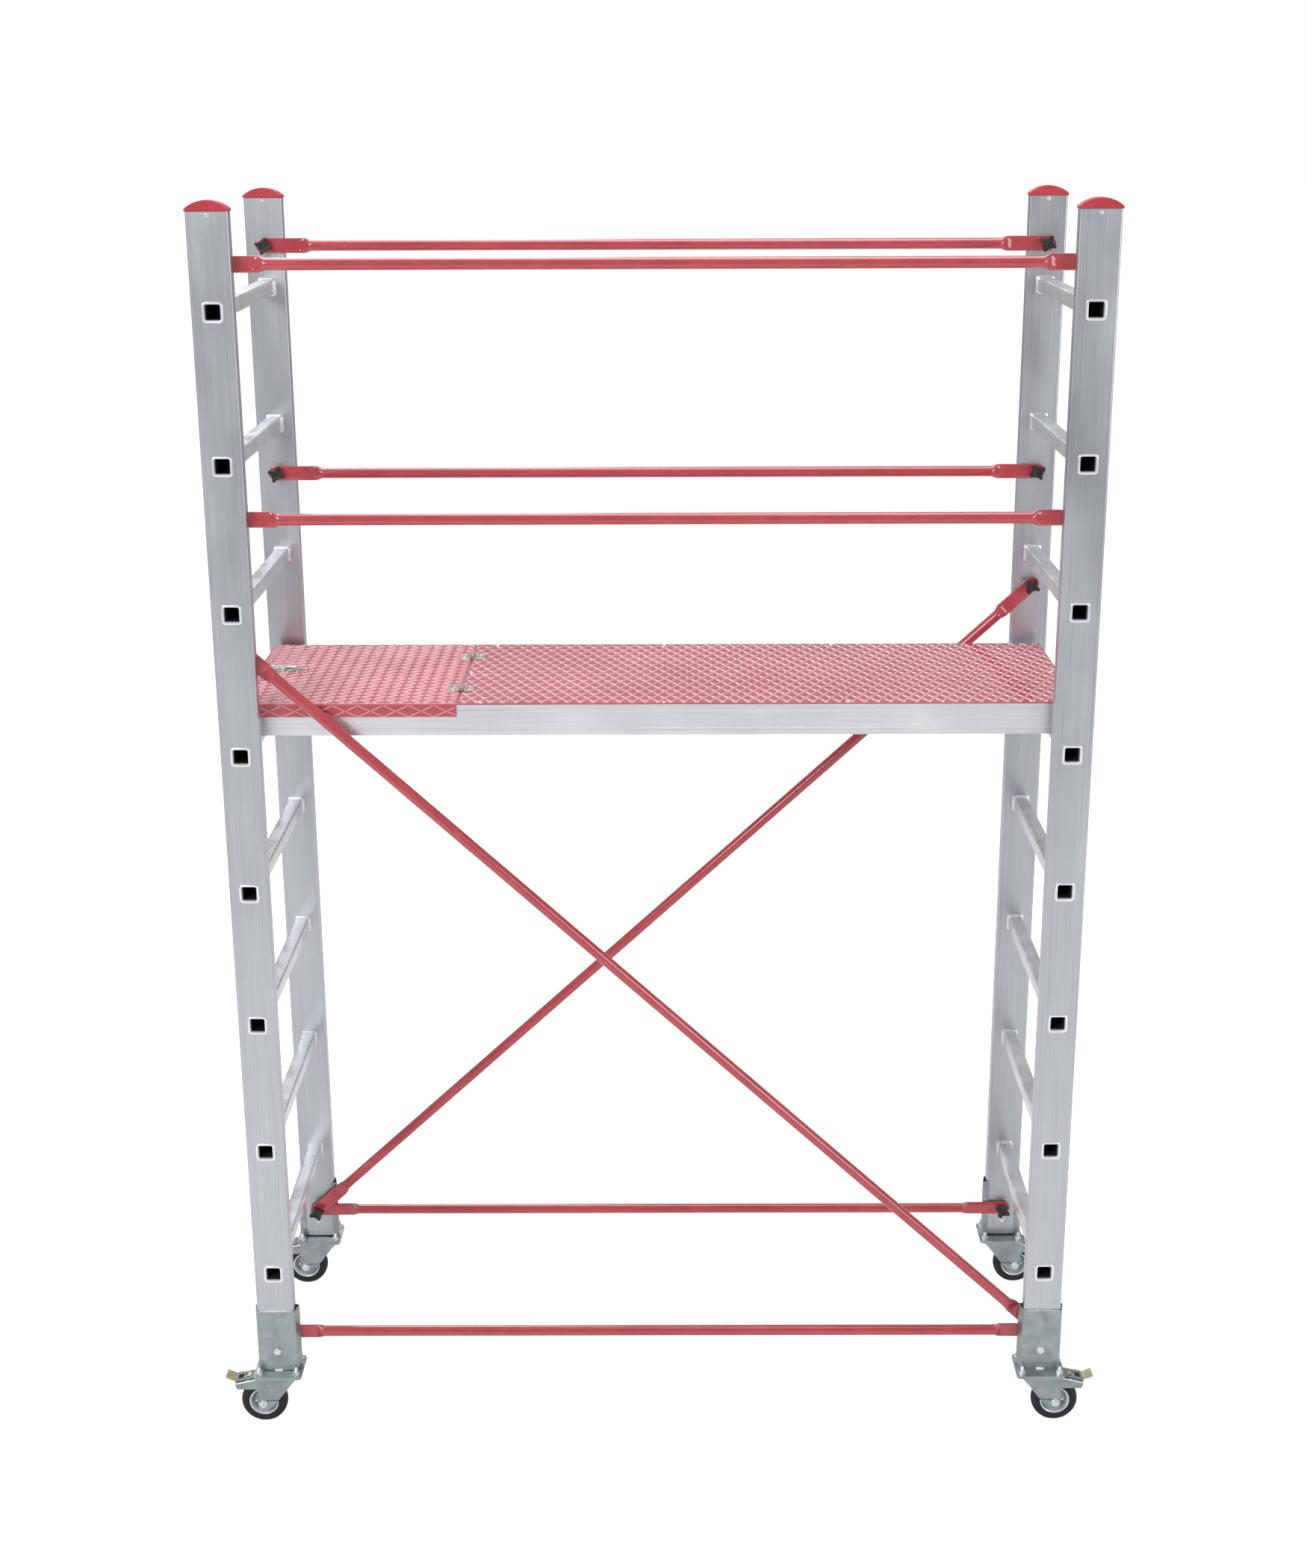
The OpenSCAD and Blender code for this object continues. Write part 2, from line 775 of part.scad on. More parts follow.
module trapdoor() {
  length = hinge_x - seam / 2 + platform_end;
  slot_margin = 1.5;
  color("indianred") difference() {
    union() {
      translate([-platform_end, -flange_y - flange_t, door_bottom])
        cube([length, 2 * (flange_y + flange_t), deck_t]);
      for (s = [-1, 1])
        translate([-platform_end, s * (flange_y + flange_t / 2) - flange_t / 2,
                   door_top - flange_h])
          cube([length, flange_t, flange_h]);
      for (s = [-1, 0, 1])
        translate([-rail_end + end_member_w + 2, s * deck_w / 4 - stiffener_w / 2,
                   door_bottom - stiffener_h])
          difference() {
            cube([length - end_member_w - cross_w, stiffener_w, stiffener_h]);
            translate([-over, flange_t, -over])
              cube([length, stiffener_w - 2 * flange_t, stiffener_h - flange_t + over]);
          }
    }
    translate([keeper_x - keeper_t - slot_margin, latch_y - keeper_w / 2 - slot_margin,
               door_bottom - over])
      cube([keeper_t + 2 * slot_margin, keeper_w + 2 * slot_margin, deck_t + 2 * over]);
  }
}

// Knuckles of one hinge, from y0 over the given number of thirds
module knuckle(y0, bore_d) {
  difference() {
    rod_y(knuckle_d, y0, knuckle_len);
    rod_y(bore_d, y0 - over, knuckle_len + 2 * over);
  }
}

module at_hinges() {
  for (s = [-1, 1]) translate([hinge_x, s * hinge_y, hinge_z]) children();
}

module hinge_fixed_leaves() {
  start = knuckle_d / 2 + gap;
  bottom = deck_top - hinge_z;
  middle = knuckle_len / 2 + gap;
  color("lightgray") at_hinges() {
    translate([start, -hinge_len / 2, bottom]) cube([leaf_w - start, hinge_len, leaf_t]);
    for (y0 = [-hinge_len / 2, middle]) {
      rod_y(knuckle_d, y0, knuckle_len);
      translate([0, y0, bottom]) cube([start + over, knuckle_len, leaf_t]);
    }
    rod_y(hinge_pin_d, -hinge_len / 2, hinge_len);
  }
}

module hinge_moving_leaves() {
  start = knuckle_d / 2 + gap;
  bottom = door_top - hinge_z;
  color("lightgray") at_hinges() {
    translate([-leaf_w, -hinge_len / 2, bottom]) cube([leaf_w - start, hinge_len, leaf_t]);
    difference() {
      union() {
        rod_y(knuckle_d, -knuckle_len / 2, knuckle_len);
        translate([-start - over, -knuckle_len / 2, bottom])
          cube([start + over, knuckle_len, leaf_t]);
      }
      rod_y(hinge_pin_d + 2 * running, -hinge_len, 2 * hinge_len);
    }
  }
}

module latch_keeper() {
  color("khaki") difference() {
    translate([keeper_x - keeper_t, latch_y - keeper_w / 2, rail_top])
      cube([keeper_t, keeper_w, keeper_top - rail_top]);
    translate([keeper_x - keeper_t - over, latch_y, bolt_axis_z]) rotate([90, 0, 90])
      linear_extrude(keeper_t + 2 * over)
        rounded(keeper_hole_w, keeper_hole_h, keeper_hole_h / 2 - 0.1);
  }
}

module latch_body() {
  top = bolt_axis_z + bolt_d / 2 + 1.5;
  color("silver") difference() {
    union() {
      translate([latch_x, latch_y - latch_w / 2, door_top])
        cube([latch_len, latch_w, latch_plate_t]);
      for (x = [latch_x, latch_x + guide_back])
        translate([x, latch_y - guide_w / 2, door_top])
          cube([guide_l, guide_w, top - door_top]);
    }
    translate([latch_x - over, latch_y, bolt_axis_z]) rotate([0, 90, 0])
      cylinder(d = bolt_d + 2 * running, h = latch_len + 2 * over);
  }
}

module latch_bolt() {
  color("lightgray") translate([0, latch_y, bolt_axis_z]) {
    translate([bolt_tip_x, 0, 0]) rotate([0, 90, 0])
      cylinder(d = bolt_d, h = bail_x - bolt_tip_x);
    translate([bail_x, 0, 0]) rod_y(wire_d, -bail_w / 2, bail_w);
    translate([bail_x, 0, 0]) sphere(d = bolt_d);
  }
}

module latch_bail() {
  eye_d = 2 * wire_d + 1;
  arm_y = bail_w / 2 - wire_d;
  color("lightgray") translate([bail_x, latch_y, bolt_axis_z]) {
    difference() {
      union() {
        for (s = [-1, 1]) {
          rod_y(eye_d, s * arm_y - wire_d / 2, wire_d);
          translate([0, s * arm_y, 0]) rotate([0, 90, 0])
            cylinder(d = wire_d, h = bail_len, $fn = 24);
          translate([bail_len, s * arm_y, 0]) sphere(d = wire_d, $fn = 24);
        }
        translate([bail_len, 0, 0]) rod_y(wire_d, -arm_y, 2 * arm_y, 24);
      }
      rod_y(wire_d + 2 * running, -bail_w, 2 * bail_w);
    }
  }
}

// ---------- casters ----------

// Cheek from the crown down to the lug, and out along the pedal's arm
module fork_cheek() {
  chamfer = 4;
  back_foot = [caster_offset - 3 * lug_back, axle_z + chamfer];
  polygon([
    [-crown_back, crown_top], [-crown_back, crown_top - crown_skirt],
    back_foot + [0, chamfer], back_foot,
    [caster_offset - lug_back, axle_z - lug_drop],
    [caster_offset + lug_r - chamfer, axle_z - lug_drop],
    [caster_offset + lug_r, axle_z - lug_drop + chamfer],
    [caster_offset + lug_r, arm_bottom - chamfer],
    [caster_offset + lug_r + chamfer, arm_bottom],
    [arm_end - chamfer, arm_bottom], [arm_end, arm_bottom + arm_h],
    [caster_offset + lug_r, crown_top - arm_drop], [crown_front, crown_top]
  ]);
}

module fork(leg) {
  color("slategray") on_caster(leg) {
    difference() {
      union() {
        for (y = [-cheek_y - fork_t, cheek_y]) slab_y(y, fork_t) fork_cheek();
        translate([0, 0, crown_top - fork_t]) linear_extrude(fork_t)
          translate([-crown_back, -cheek_y - fork_t])
            square([crown_back + crown_front, 2 * (cheek_y + fork_t)]);
      }
      translate([caster_offset, 0, axle_z]) rod_y(axle_d, -2 * cheek_y, 4 * cheek_y);
      translate([pedal_x, 0, pedal_z])
        rod_y(pedal_pin_d + 2 * running, -2 * cheek_y, 4 * cheek_y);
    }
    translate([0, 0, crown_top - fork_t])
      cylinder(d = kingpin_d, h = fork_t + gap + cup_h + plate_t - 1);
  }
}

module axle(leg) {
  head_af = 15;
  head_h = 5;
  tail = 3;
  outer = cheek_y + fork_t;
  color("lightgray") on_caster(leg) translate([caster_offset, 0, axle_z]) {
    rod_y(axle_d, -outer - head_h / 2, 2 * outer + head_h + tail);
    rod_y(head_af / cos(30), -outer - head_h, head_h, 6);
    rod_y(head_af / cos(30), outer, head_h, 6);
    for (y = [-cheek_y, hub_half + gap])
      rod_y(2 * hub_r - 4, y, cheek_y - hub_half - gap);
  }
}

module rim(leg) {
  rim_wall = 3;
  half = tyre_w / 2 - 2;
  web = 5;
  color("silver") on_caster(leg) translate([caster_offset, 0, axle_z])
    rotate([90, 0, 0]) rotate_extrude($fn = 96) {
      translate([axle_d / 2 + running, -hub_half])
        square([hub_r - axle_d / 2 - running, 2 * hub_half]);
      translate([hub_r - over, -web / 2]) square([rim_d / 2 - hub_r, web]);
      translate([rim_d / 2 - rim_wall, -half]) square([rim_wall, 2 * half]);
    }
}

module tyre(leg) {
  shoulder = 6;
  half = tyre_w / 2;
  outer = wheel_d / 2;
  color("dimgray") on_caster(leg) translate([caster_offset, 0, axle_z])
    rotate([90, 0, 0]) rotate_extrude($fn = 96) {
      translate([rim_d / 2, -half]) square([outer - shoulder - rim_d / 2, tyre_w]);
      translate([rim_d / 2, shoulder - half])
        square([outer - rim_d / 2, tyre_w - 2 * shoulder]);
      for (s = [-1, 1])
        translate([outer - shoulder, s * (half - shoulder)]) circle(r = shoulder);
    }
}

// Pedal strip: the plate over the pivot, a bend, then the raised tread
module pedal_profile() {
  inner = [pedal_x - pedal_back, pedal_z + pedal_rise];
  bend = [pedal_x + pedal_len - tread_len, pedal_z - 1];
  tip = bend + [tread_len, tread_rise];
  up = [0, pedal_t];
  polygon([inner, inner + up, bend + up, tip + up, tip, bend]);
}

module pedal(leg) {
  head_h = 1.5;
  outer = cheek_y + fork_t + gap;
  color("darkkhaki") on_caster(leg) {
    difference() {
      slab_y(-pedal_half, 2 * pedal_half) pedal_profile();
      translate([pedal_x + window_w / 2, -window_w / 2, pedal_z - ear_r])
        cube([window_len, window_w, 4 * ear_r]);
    }
    translate([pedal_x, 0, pedal_z]) {
      for (y = [-pedal_half, pedal_half - pedal_t]) {
        rod_y(2 * ear_r, y, pedal_t);
        slab_y(y, pedal_t) translate([-ear_r, 0]) square([2 * ear_r, pedal_rise - 0.5]);
      }
      rod_y(pedal_pin_d, -outer, 2 * outer);
      for (y = [-outer - head_h, outer]) rod_y(pedal_pin_d + 3, y, head_h);
    }
  }
}

// ---------- nodes ----------

stile(front_left);  // front_left_stile
stile(front_right);  // front_right_stile
stile(rear_left);  // rear_left_stile
stile(rear_right);  // rear_right_stile
rungs(-1);  // left_rungs
rungs(1);  // right_rungs
stile_caps();
cap_rivets();
guard_rails();
bottom_braces();
diagonal_brace(-1);  // front_diagonal_brace
diagonal_brace(1);  // rear_diagonal_brace
leg_brackets();
caster_plates();
bracket_bolts();
platform_side_rails();
platform_cross_members();
fixed_deck();
deck_rivets();
hinge_fixed_leaves();
latch_keeper();
trapdoor();
hinge_moving_leaves();
latch_body();
latch_bolt();
latch_bail();

knob(front_left, top_rail_z, rail_knob_seat, 12);  // front_top_left_knob
knob(front_right, top_rail_z, rail_knob_seat, 31);  // front_top_right_knob
knob(front_left, mid_rail_z, rail_knob_seat, 55);  // front_mid_left_knob
knob(front_right, mid_rail_z, rail_knob_seat, 8);  // front_mid_right_knob
knob(front_left, diagonal_z, rail_knob_seat, 40);  // front_diagonal_knob
knob(front_left, bottom_brace_z, bottom_seat(front_left), 22);  // front_bottom_left_knob
knob(front_right, bottom_brace_z, bottom_seat(front_right), 65);  // front_bottom_right_knob
knob(rear_left, top_rail_z, rail_knob_seat, 16);  // rear_top_left_knob
knob(rear_right, top_rail_z, rail_knob_seat, 25);  // rear_top_right_knob
knob(rear_left, mid_rail_z, rail_knob_seat, 20);  // rear_mid_left_knob
knob(rear_right, mid_rail_z, rail_knob_seat, 60);  // rear_mid_right_knob
knob(rear_right, diagonal_z, rail_knob_seat, 28);  // rear_diagonal_knob
knob(rear_left, bottom_brace_z, bottom_seat(rear_left), 70);  // rear_bottom_left_knob
knob(rear_right, bottom_brace_z, bottom_seat(rear_right), 30);  // rear_bottom_right_knob

fork(front_left);  // front_left_fork
axle(front_left);  // front_left_axle
rim(front_left);  // front_left_rim
tyre(front_left);  // front_left_tyre
pedal(front_left);  // front_left_pedal
fork(front_right);  // front_right_fork
axle(front_right);  // front_right_axle
rim(front_right);  // front_right_rim
tyre(front_right);  // front_right_tyre
pedal(front_right);  // front_right_pedal
fork(rear_left);  // rear_left_fork
axle(rear_left);  // rear_left_axle
rim(rear_left);  // rear_left_rim
tyre(rear_left);  // rear_left_tyre
pedal(rear_left);  // rear_left_pedal
fork(rear_right);  // rear_right_fork
axle(rear_right);  // rear_right_axle
rim(rear_right);  // rear_right_rim
tyre(rear_right);  // rear_right_tyre
pedal(rear_right);  // rear_right_pedal
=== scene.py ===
from math import atan2, copysign, cos, exp, pi, radians, sin, sqrt

import bmesh
import bpy
from mathutils import Matrix, Vector
from mathutils.geometry import tessellate_polygon


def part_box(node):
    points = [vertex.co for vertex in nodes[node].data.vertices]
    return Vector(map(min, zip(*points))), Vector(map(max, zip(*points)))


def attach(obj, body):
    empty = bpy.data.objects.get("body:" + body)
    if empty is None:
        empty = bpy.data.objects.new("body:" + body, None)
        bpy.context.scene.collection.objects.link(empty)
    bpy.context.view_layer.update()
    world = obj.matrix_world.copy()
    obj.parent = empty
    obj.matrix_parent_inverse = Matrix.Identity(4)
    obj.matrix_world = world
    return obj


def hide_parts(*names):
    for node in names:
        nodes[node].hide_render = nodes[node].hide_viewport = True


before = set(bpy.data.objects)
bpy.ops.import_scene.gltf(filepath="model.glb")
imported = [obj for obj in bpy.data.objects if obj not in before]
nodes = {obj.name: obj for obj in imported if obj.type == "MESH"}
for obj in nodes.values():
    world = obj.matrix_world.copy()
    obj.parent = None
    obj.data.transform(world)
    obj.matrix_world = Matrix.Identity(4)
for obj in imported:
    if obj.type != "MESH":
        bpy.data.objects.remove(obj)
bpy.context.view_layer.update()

# Everything below is drawn in millimetres and scaled once, in piece()
MM = 0.001

# The side of each leg in x and in y
LEGS = {
    "front_left": (-1, -1), "front_right": (1, -1),
    "rear_left": (-1, 1), "rear_right": (1, 1),
}

# Sizes that several pieces share
RUNGS = 8
RUNG_HALF = 15
COLLAR_HALF = 19
FLAT_HALF = 15  # half the height of a brace's flattened end
FLAT_T = 2.5  # half its thickness
TUBE_R = 11
PLATE_T = 3  # caster plates and bracket feet
LEG_BOLT_RISE = 46
PEDAL_RISE = 50.5  # from the axle to the pedal's pivot
SHARP_ABOVE = 32  # edges are drawn sharp above this angle


def box_mm(node):
    low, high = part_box(node)
    return low / MM, high / MM


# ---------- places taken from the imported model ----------

low, high = box_mm("front_left_stile")
STILE_X = -(low.x + high.x) / 2
STILE_Y = -(low.y + high.y) / 2
STILE_TOP = high.z
INNER_Y, OUTER_Y = -high.y, -low.y
HALF_D = (OUTER_Y - INNER_Y) / 2

low, high = box_mm("left_rungs")
RUNG_FIRST, RUNG_LAST = low.z + COLLAR_HALF, high.z - COLLAR_HALF
RUNG_REACH = high.y
RUNG_PITCH = (RUNG_LAST - RUNG_FIRST) / (RUNGS - 1)

low, high = box_mm("guard_rails")
TOP_RAIL_Z, MID_RAIL_Z = high.z - FLAT_HALF, low.z + FLAT_HALF
RAIL_Y = INNER_Y - FLAT_T
low, high = box_mm("bottom_braces")
BOTTOM_Z = high.z - FLAT_HALF
PLATE_TOP = box_mm("leg_brackets")[0].z
BRACKET_TOP = box_mm("leg_brackets")[1].z
PLATE_BOTTOM = PLATE_TOP - PLATE_T
FOOT_TOP = PLATE_TOP + PLATE_T


# ---------- mesh helpers ----------

def shift(x, y, z):
    return Matrix.Translation((x, y, z))


def turn(degrees, axis):
    return Matrix.Rotation(radians(degrees), 4, axis)


# Drawn in XZ, thickened along Y; and drawn in YZ, thickened along X
IN_XZ = turn(90, "X")
IN_YZ = Matrix(((0, 0, 1, 0), (1, 0, 0, 0), (0, 1, 0, 0), (0, 0, 0, 1)))


def on_leg(leg):
    sx, sy = LEGS[leg]
    return shift(sx * STILE_X, sy * STILE_Y, 0) @ turn(180 if sy < 0 else 0, "Z")


def on_caster(leg):
    sx, sy = LEGS[leg]
    return shift(sx * STILE_X, sy * STILE_Y, 0) @ turn(180 if sx < 0 else 0, "Z")


def moved(loop, d):
    """The loop moved to its left by d"""
    if not d:
        return loop
    out = []
    for i, (x, y) in enumerate(loop):
        px, py = loop[i - 1]
        nx, ny = loop[(i + 1) % len(loop)]
        a = Vector((x - px, y - py)).normalized()
        b = Vector((nx - x, ny - y)).normalized()
        na, nb = Vector((-a.y, a.x)), Vector((-b.y, b.x))
        m = (na + nb) * (d / max(0.4, 1 + na.dot(nb)))
        out.append((x + m.x, y + m.y))
    return out


def wound(loop, anticlockwise):
    area = sum(x0 * y1 - x1 * y0 for (x0, y0), (x1, y1) in zip(loop, loop[1:] + loop[:1]))
    return loop if (area > 0) == anticlockwise else loop[::-1]


def circle(r, cx=0, cy=0, n=24):
    return [(cx + r * cos(2 * pi * i / n), cy + r * sin(2 * pi * i / n)) for i in range(n)]


def rounded(w, h, r, cx=0, cy=0, steps=5):
    out = []
    for k, (sx, sy) in enumerate(((1, 1), (-1, 1), (-1, -1), (1, -1))):
        for i in range(steps + 1):
            a = radians(90 * (k + i / steps))
            out.append((cx + sx * (w / 2 - r) + r * cos(a), cy + sy * (h / 2 - r) + r * sin(a)))
    return out


def soft_corners(points, radii, steps=4):
    """Outline with each corner rounded; a radius of 0 keeps a sharp corner"""
    out = []
    n = len(points)
    for i, p in enumerate(points):
        r = radii[i] if isinstance(radii, (list, tuple)) else radii
        p = Vector(p)
        if not r:
            out.append(tuple(p))
            continue
        a = (Vector(points[i - 1]) - p)
        b = (Vector(points[(i + 1) % n]) - p)
        r = min(r, a.length * 0.45, b.length * 0.45)
        s, e = p + a.normalized() * r, p + b.normalized() * r
        for k in range(steps + 1):
            t = k / steps
            out.append(tuple(s * (1 - t) ** 2 + p * 2 * t * (1 - t) + e * t * t))
    return out


class Shape:
    """Points and faces gathered from simple forms"""

    def __init__(self):
        self.points, self.faces, self.groups = [], [], []

    def add(self, points, faces, place=None, group=0):
        base = len(self.points)
        place = place or Matrix()
        self.points += [place @ Vector(p) for p in points]
        self.faces += [[base + i for i in f] for f in faces]
        self.groups += [group] * len(faces)

    def skin(self, rings, place=None, closed=False, caps=True, group=0):
        n, count = len(rings[0]), len(rings)
        faces = [
            [a * n + i, a * n + (i + 1) % n,
             (a + 1) % count * n + (i + 1) % n, (a + 1) % count * n + i]
            for a in range(count if closed else count - 1) for i in range(n)
        ]
        if caps and not closed:
            faces += [list(range(n))[::-1], [(count - 1) * n + i for i in range(n)]]
        self.add([p for ring in rings for p in ring], faces, place, group)

    def plate(self, loops, z0, z1, bevel=0, place=None, group=0):
        """Flat plate; the first loop is its outline and the others are holes"""
        levels = [(z0, 0), (z1, 0)]
        if bevel:
            levels = [(z0, bevel), (z0 + bevel, 0), (z1 - bevel, 0), (z1, bevel)]
        loops = [wound(list(loop), i == 0) for i, loop in enumerate(loops)]
        points, faces, first, last = [], [], [], []
        for loop in loops:
            n, base = len(loop), len(points)
            for z, d in levels:
                points += [(x, y, z) for x, y in moved(loop, d)]
            for s in range(len(levels) - 1):
                for i in range(n):
                    a, b = base + s * n + i, base + s * n + (i + 1) % n
                    faces.append([a, b, b + n, a + n])
            first += [base + i for i in range(n)]
            last += [base + (len(levels) - 1) * n + i for i in range(n)]
        flat = [[Vector((x, y, 0)) for x, y in moved(loop, bevel)] for loop in loops]
        for t in tessellate_polygon(flat):
            faces += [[first[i] for i in t], [last[i] for i in t][::-1]]
        self.add(points, faces, place, group)

    def slab_y(self, loops, y0, y1, bevel=0, place=None, group=0):
        self.plate(loops, -y1, -y0, bevel, (place or Matrix()) @ IN_XZ, group)

    def lathe(self, profile, place=None, n=48, closed=False, group=0):
        """Profile of (radius, height) turned around the local Z axis"""
        rings = [[(x, y, z) for x, y in circle(r, n=n)] for r, z in profile]
        self.skin(rings, place, closed, not closed, group)

    def hexagon(self, across, z0, z1, place=None, chamfer=0.8, group=0):
        """Hexagonal head or nut with chamfered ends"""
        n = 48

        def ring(z, limit):
            out = []
            for i in range(n):
                a = 2 * pi * i / n
                corner = (a + pi / 6) % (pi / 3) - pi / 6
                r = min(across / 2 / cos(corner), limit)
                out.append((r * cos(a), r * sin(a), z))
            return out
        self.skin([ring(z0, across * 0.48), ring(z0 + chamfer * 0.5, across * 0.53),
                   ring(z0 + chamfer, across), ring(z1 - chamfer, across),
                   ring(z1 - chamfer * 0.5, across * 0.53), ring(z1, across * 0.48)], place, group=group)

    def thread(self, r, z0, z1, place=None, pitch=1.5):
        profile = [(r - 0.9, z0), (r - 0.55, z0 + 0.2)]
        z = z0 + 0.2
        while z + pitch < z1:
            profile += [(r, z + pitch * 0.4), (r, z + pitch * 0.55), (r - 0.55, z + pitch)]
            z += pitch
        self.lathe(profile + [(r - 0.9, z1)], place, 20)

    def dome(self, r, h, place=None, z=0, n=24):
        self.lathe([(r, z - 0.4), (r, z)] + [(r * cos(a), z + h * sin(a)) for a in
                   (0.3, 0.6, 0.9, 1.2, 1.42)], place, n)

    def tube(self, path, r, place=None, n=16, closed=False, group=0):
        """Round wire along a path that lies in one XY plane"""
        path = [Vector(p) for p in path]
        rings = []
        for i, p in enumerate(path):
            a = path[i - 1] if closed or i else p
            b = path[(i + 1) % len(path)] if closed or i < len(path) - 1 else p
            t = (b - a).normalized()
            side = Vector((-t.y, t.x, 0))
            rings.append([tuple(p + side * x + Vector((0, 0, z))) for x, z in circle(r, n=n)])
        self.skin(rings, place, closed, group=group)


def piece(name, shape, body, materials, replaces=()):
    mesh = bpy.data.meshes.new(name)
    mesh.from_pydata([p * MM for p in shape.points], [], shape.faces)
    for m in materials if isinstance(materials, (list, tuple)) else [materials]:
        mesh.materials.append(m)
    mesh.polygons.foreach_set("material_index", shape.groups)
    bm = bmesh.new()
    bm.from_mesh(mesh)
    bmesh.ops.recalc_face_normals(bm, faces=bm.faces)
    bm.to_mesh(mesh)
    bm.free()
    mesh.polygons.foreach_set("use_smooth", [True] * len(mesh.polygons))
    mesh.set_sharp_from_angle(angle=radians(SHARP_ABOVE))
    obj = bpy.data.objects.new(name, mesh)
    bpy.context.scene.collection.objects.link(obj)
    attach(obj, body)
    if replaces:
        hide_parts(*replaces)
    return obj


# ---------- materials ----------

def finish(name, dark, light, rough, metallic=0.0, grain=(1, 1, 1), scale=60, patch=6,
           patch_share=0.5, bump=0.15, bump_depth=0.0004, bump_scale=None, coat=0.0,
           patch_grain=(1, 1, 1)):
    """Surface that varies between two tones with a stretched grain and broad patches"""
    m = bpy.data.materials.new(name)
    m.use_nodes = True
    tree = m.node_tree
    link, new = tree.links.new, tree.nodes.new
    shader = tree.nodes["Principled BSDF"]
    shader.inputs["Metallic"].default_value = metallic
    shader.inputs["Coat Weight"].default_value = coat
    shader.inputs["Coat Roughness"].default_value = 0.08
    place = new("ShaderNodeTexCoord").outputs["Object"]

    def noise(size, stretch=(1, 1, 1), detail=4.0):
        mapping, texture = new("ShaderNodeMapping"), new("ShaderNodeTexNoise")
        mapping.inputs["Scale"].default_value = stretch
        link(place, mapping.inputs["Vector"])
        link(mapping.outputs["Vector"], texture.inputs["Vector"])
        texture.inputs["Scale"].default_value = size
        texture.inputs["Detail"].default_value = detail
        return texture.outputs["Fac"]

    streaks, patches = noise(scale, grain), noise(patch, patch_grain, 5.0)
    blend = new("ShaderNodeMix")
    blend.inputs["Factor"].default_value = patch_share
    link(streaks, blend.inputs["A"])
    link(patches, blend.inputs["B"])
    tones = new("ShaderNodeValToRGB")
    for element, position, tone in zip(tones.color_ramp.elements, (0.34, 0.66), (dark, light)):
        element.position, element.color = position, (*tone, 1)
    link(blend.outputs["Result"], tones.inputs["Fac"])
    link(tones.outputs["Color"], shader.inputs["Base Color"])
    span = new("ShaderNodeMapRange")
    span.inputs["From Min"].default_value, span.inputs["From Max"].default_value = 0.3, 0.7
    span.inputs["To Min"].default_value, span.inputs["To Max"].default_value = rough
    link(patches, span.inputs["Value"])
    link(span.outputs["Result"], shader.inputs["Roughness"])
    relief = new("ShaderNodeBump")
    relief.inputs["Strength"].default_value = bump
    relief.inputs["Distance"].default_value = bump_depth
    link(noise(bump_scale) if bump_scale else streaks, relief.inputs["Height"])
    link(relief.outputs["Normal"], shader.inputs["Normal"])
    return m


# Each has its dark and light tone, and the range of its roughness
stile_metal = finish(
    "aluminium_upright", (0.50, 0.525, 0.56), (0.66, 0.685, 0.72), (0.28, 0.42), metallic=1.0,
    grain=(240, 240, 3), scale=1.6, patch=8, patch_share=0.55, bump=0.06, patch_grain=(1, 1, 0.35))
rung_metal = finish(
    "aluminium_rung", (0.66, 0.68, 0.71), (0.88, 0.90, 0.92), (0.22, 0.38), metallic=0.8,
    grain=(60, 3, 60), scale=3, patch=14, bump=0.04)
# Near white and part diffuse: the rungs' polished lips, brightened further as a painted highlight, and the
# forks' hems, a painted highlight
lip_and_hem_highlight = finish(
    "polished_and_painted_highlight", (0.86, 0.87, 0.89), (0.96, 0.97, 0.98), (0.14, 0.24), metallic=0.55,
    scale=90)
# Near black, painted shade: the rungs' unlit bores, the gaps under the caps and beside the bracket sleeves,
# the forks' creases and the pedals' windows
painted_shade = finish(
    "painted_shade_black", (0.010, 0.011, 0.013), (0.022, 0.024, 0.027), (0.55, 0.7), scale=50)
rail_metal = finish(
    "aluminium_rail", (0.76, 0.78, 0.82), (0.93, 0.94, 0.96), (0.26, 0.40), metallic=0.85,
    grain=(4, 260, 260), scale=1.6, patch=7)
brace_paint = finish(
    "red_gloss_paint", (0.41, 0.040, 0.054), (0.52, 0.062, 0.078), (0.10, 0.20),
    grain=(8, 40, 40), scale=4, patch=11, patch_share=0.6,
    bump=0.03, bump_depth=0.0002, bump_scale=320, coat=1.0)
deck_paint = finish(
    "red_deck_paint", (0.41, 0.052, 0.074), (0.56, 0.105, 0.135), (0.20, 0.36),
    grain=(3, 30, 3), scale=5, patch=5, patch_share=0.6, bump=0.2, bump_scale=260, coat=0.6)
# Lighter red on the raised bars, a painted highlight
ridge_highlight = finish(
    "red_ridge_painted_highlight", (0.68, 0.26, 0.30), (0.82, 0.44, 0.48), (0.14, 0.26),
    grain=(3, 30, 3), scale=5, patch=5, patch_share=0.6,
    bump=0.1, bump_depth=0.0003, bump_scale=260, coat=1.0)
cap_plastic = finish(
    "red_cap_plastic", (0.42, 0.030, 0.045), (0.55, 0.050, 0.065), (0.34, 0.48),
    scale=70, bump_scale=420)
galvanised = finish(
    "galvanised_steel", (0.30, 0.34, 0.35), (0.48, 0.53, 0.54), (0.30, 0.50), metallic=0.9,
    scale=42, patch=26, patch_share=0.4, bump=0.2, bump_depth=0.0003)
zinc = finish(
    "zinc_plate", (0.66, 0.69, 0.73), (0.90, 0.92, 0.94), (0.16, 0.28), metallic=0.7,
    scale=160, patch=60)
steel = finish(
    "brushed_steel", (0.52, 0.50, 0.46), (0.78, 0.76, 0.71), (0.20, 0.34), metallic=1.0,
    grain=(1, 30, 1), scale=30, patch=60)
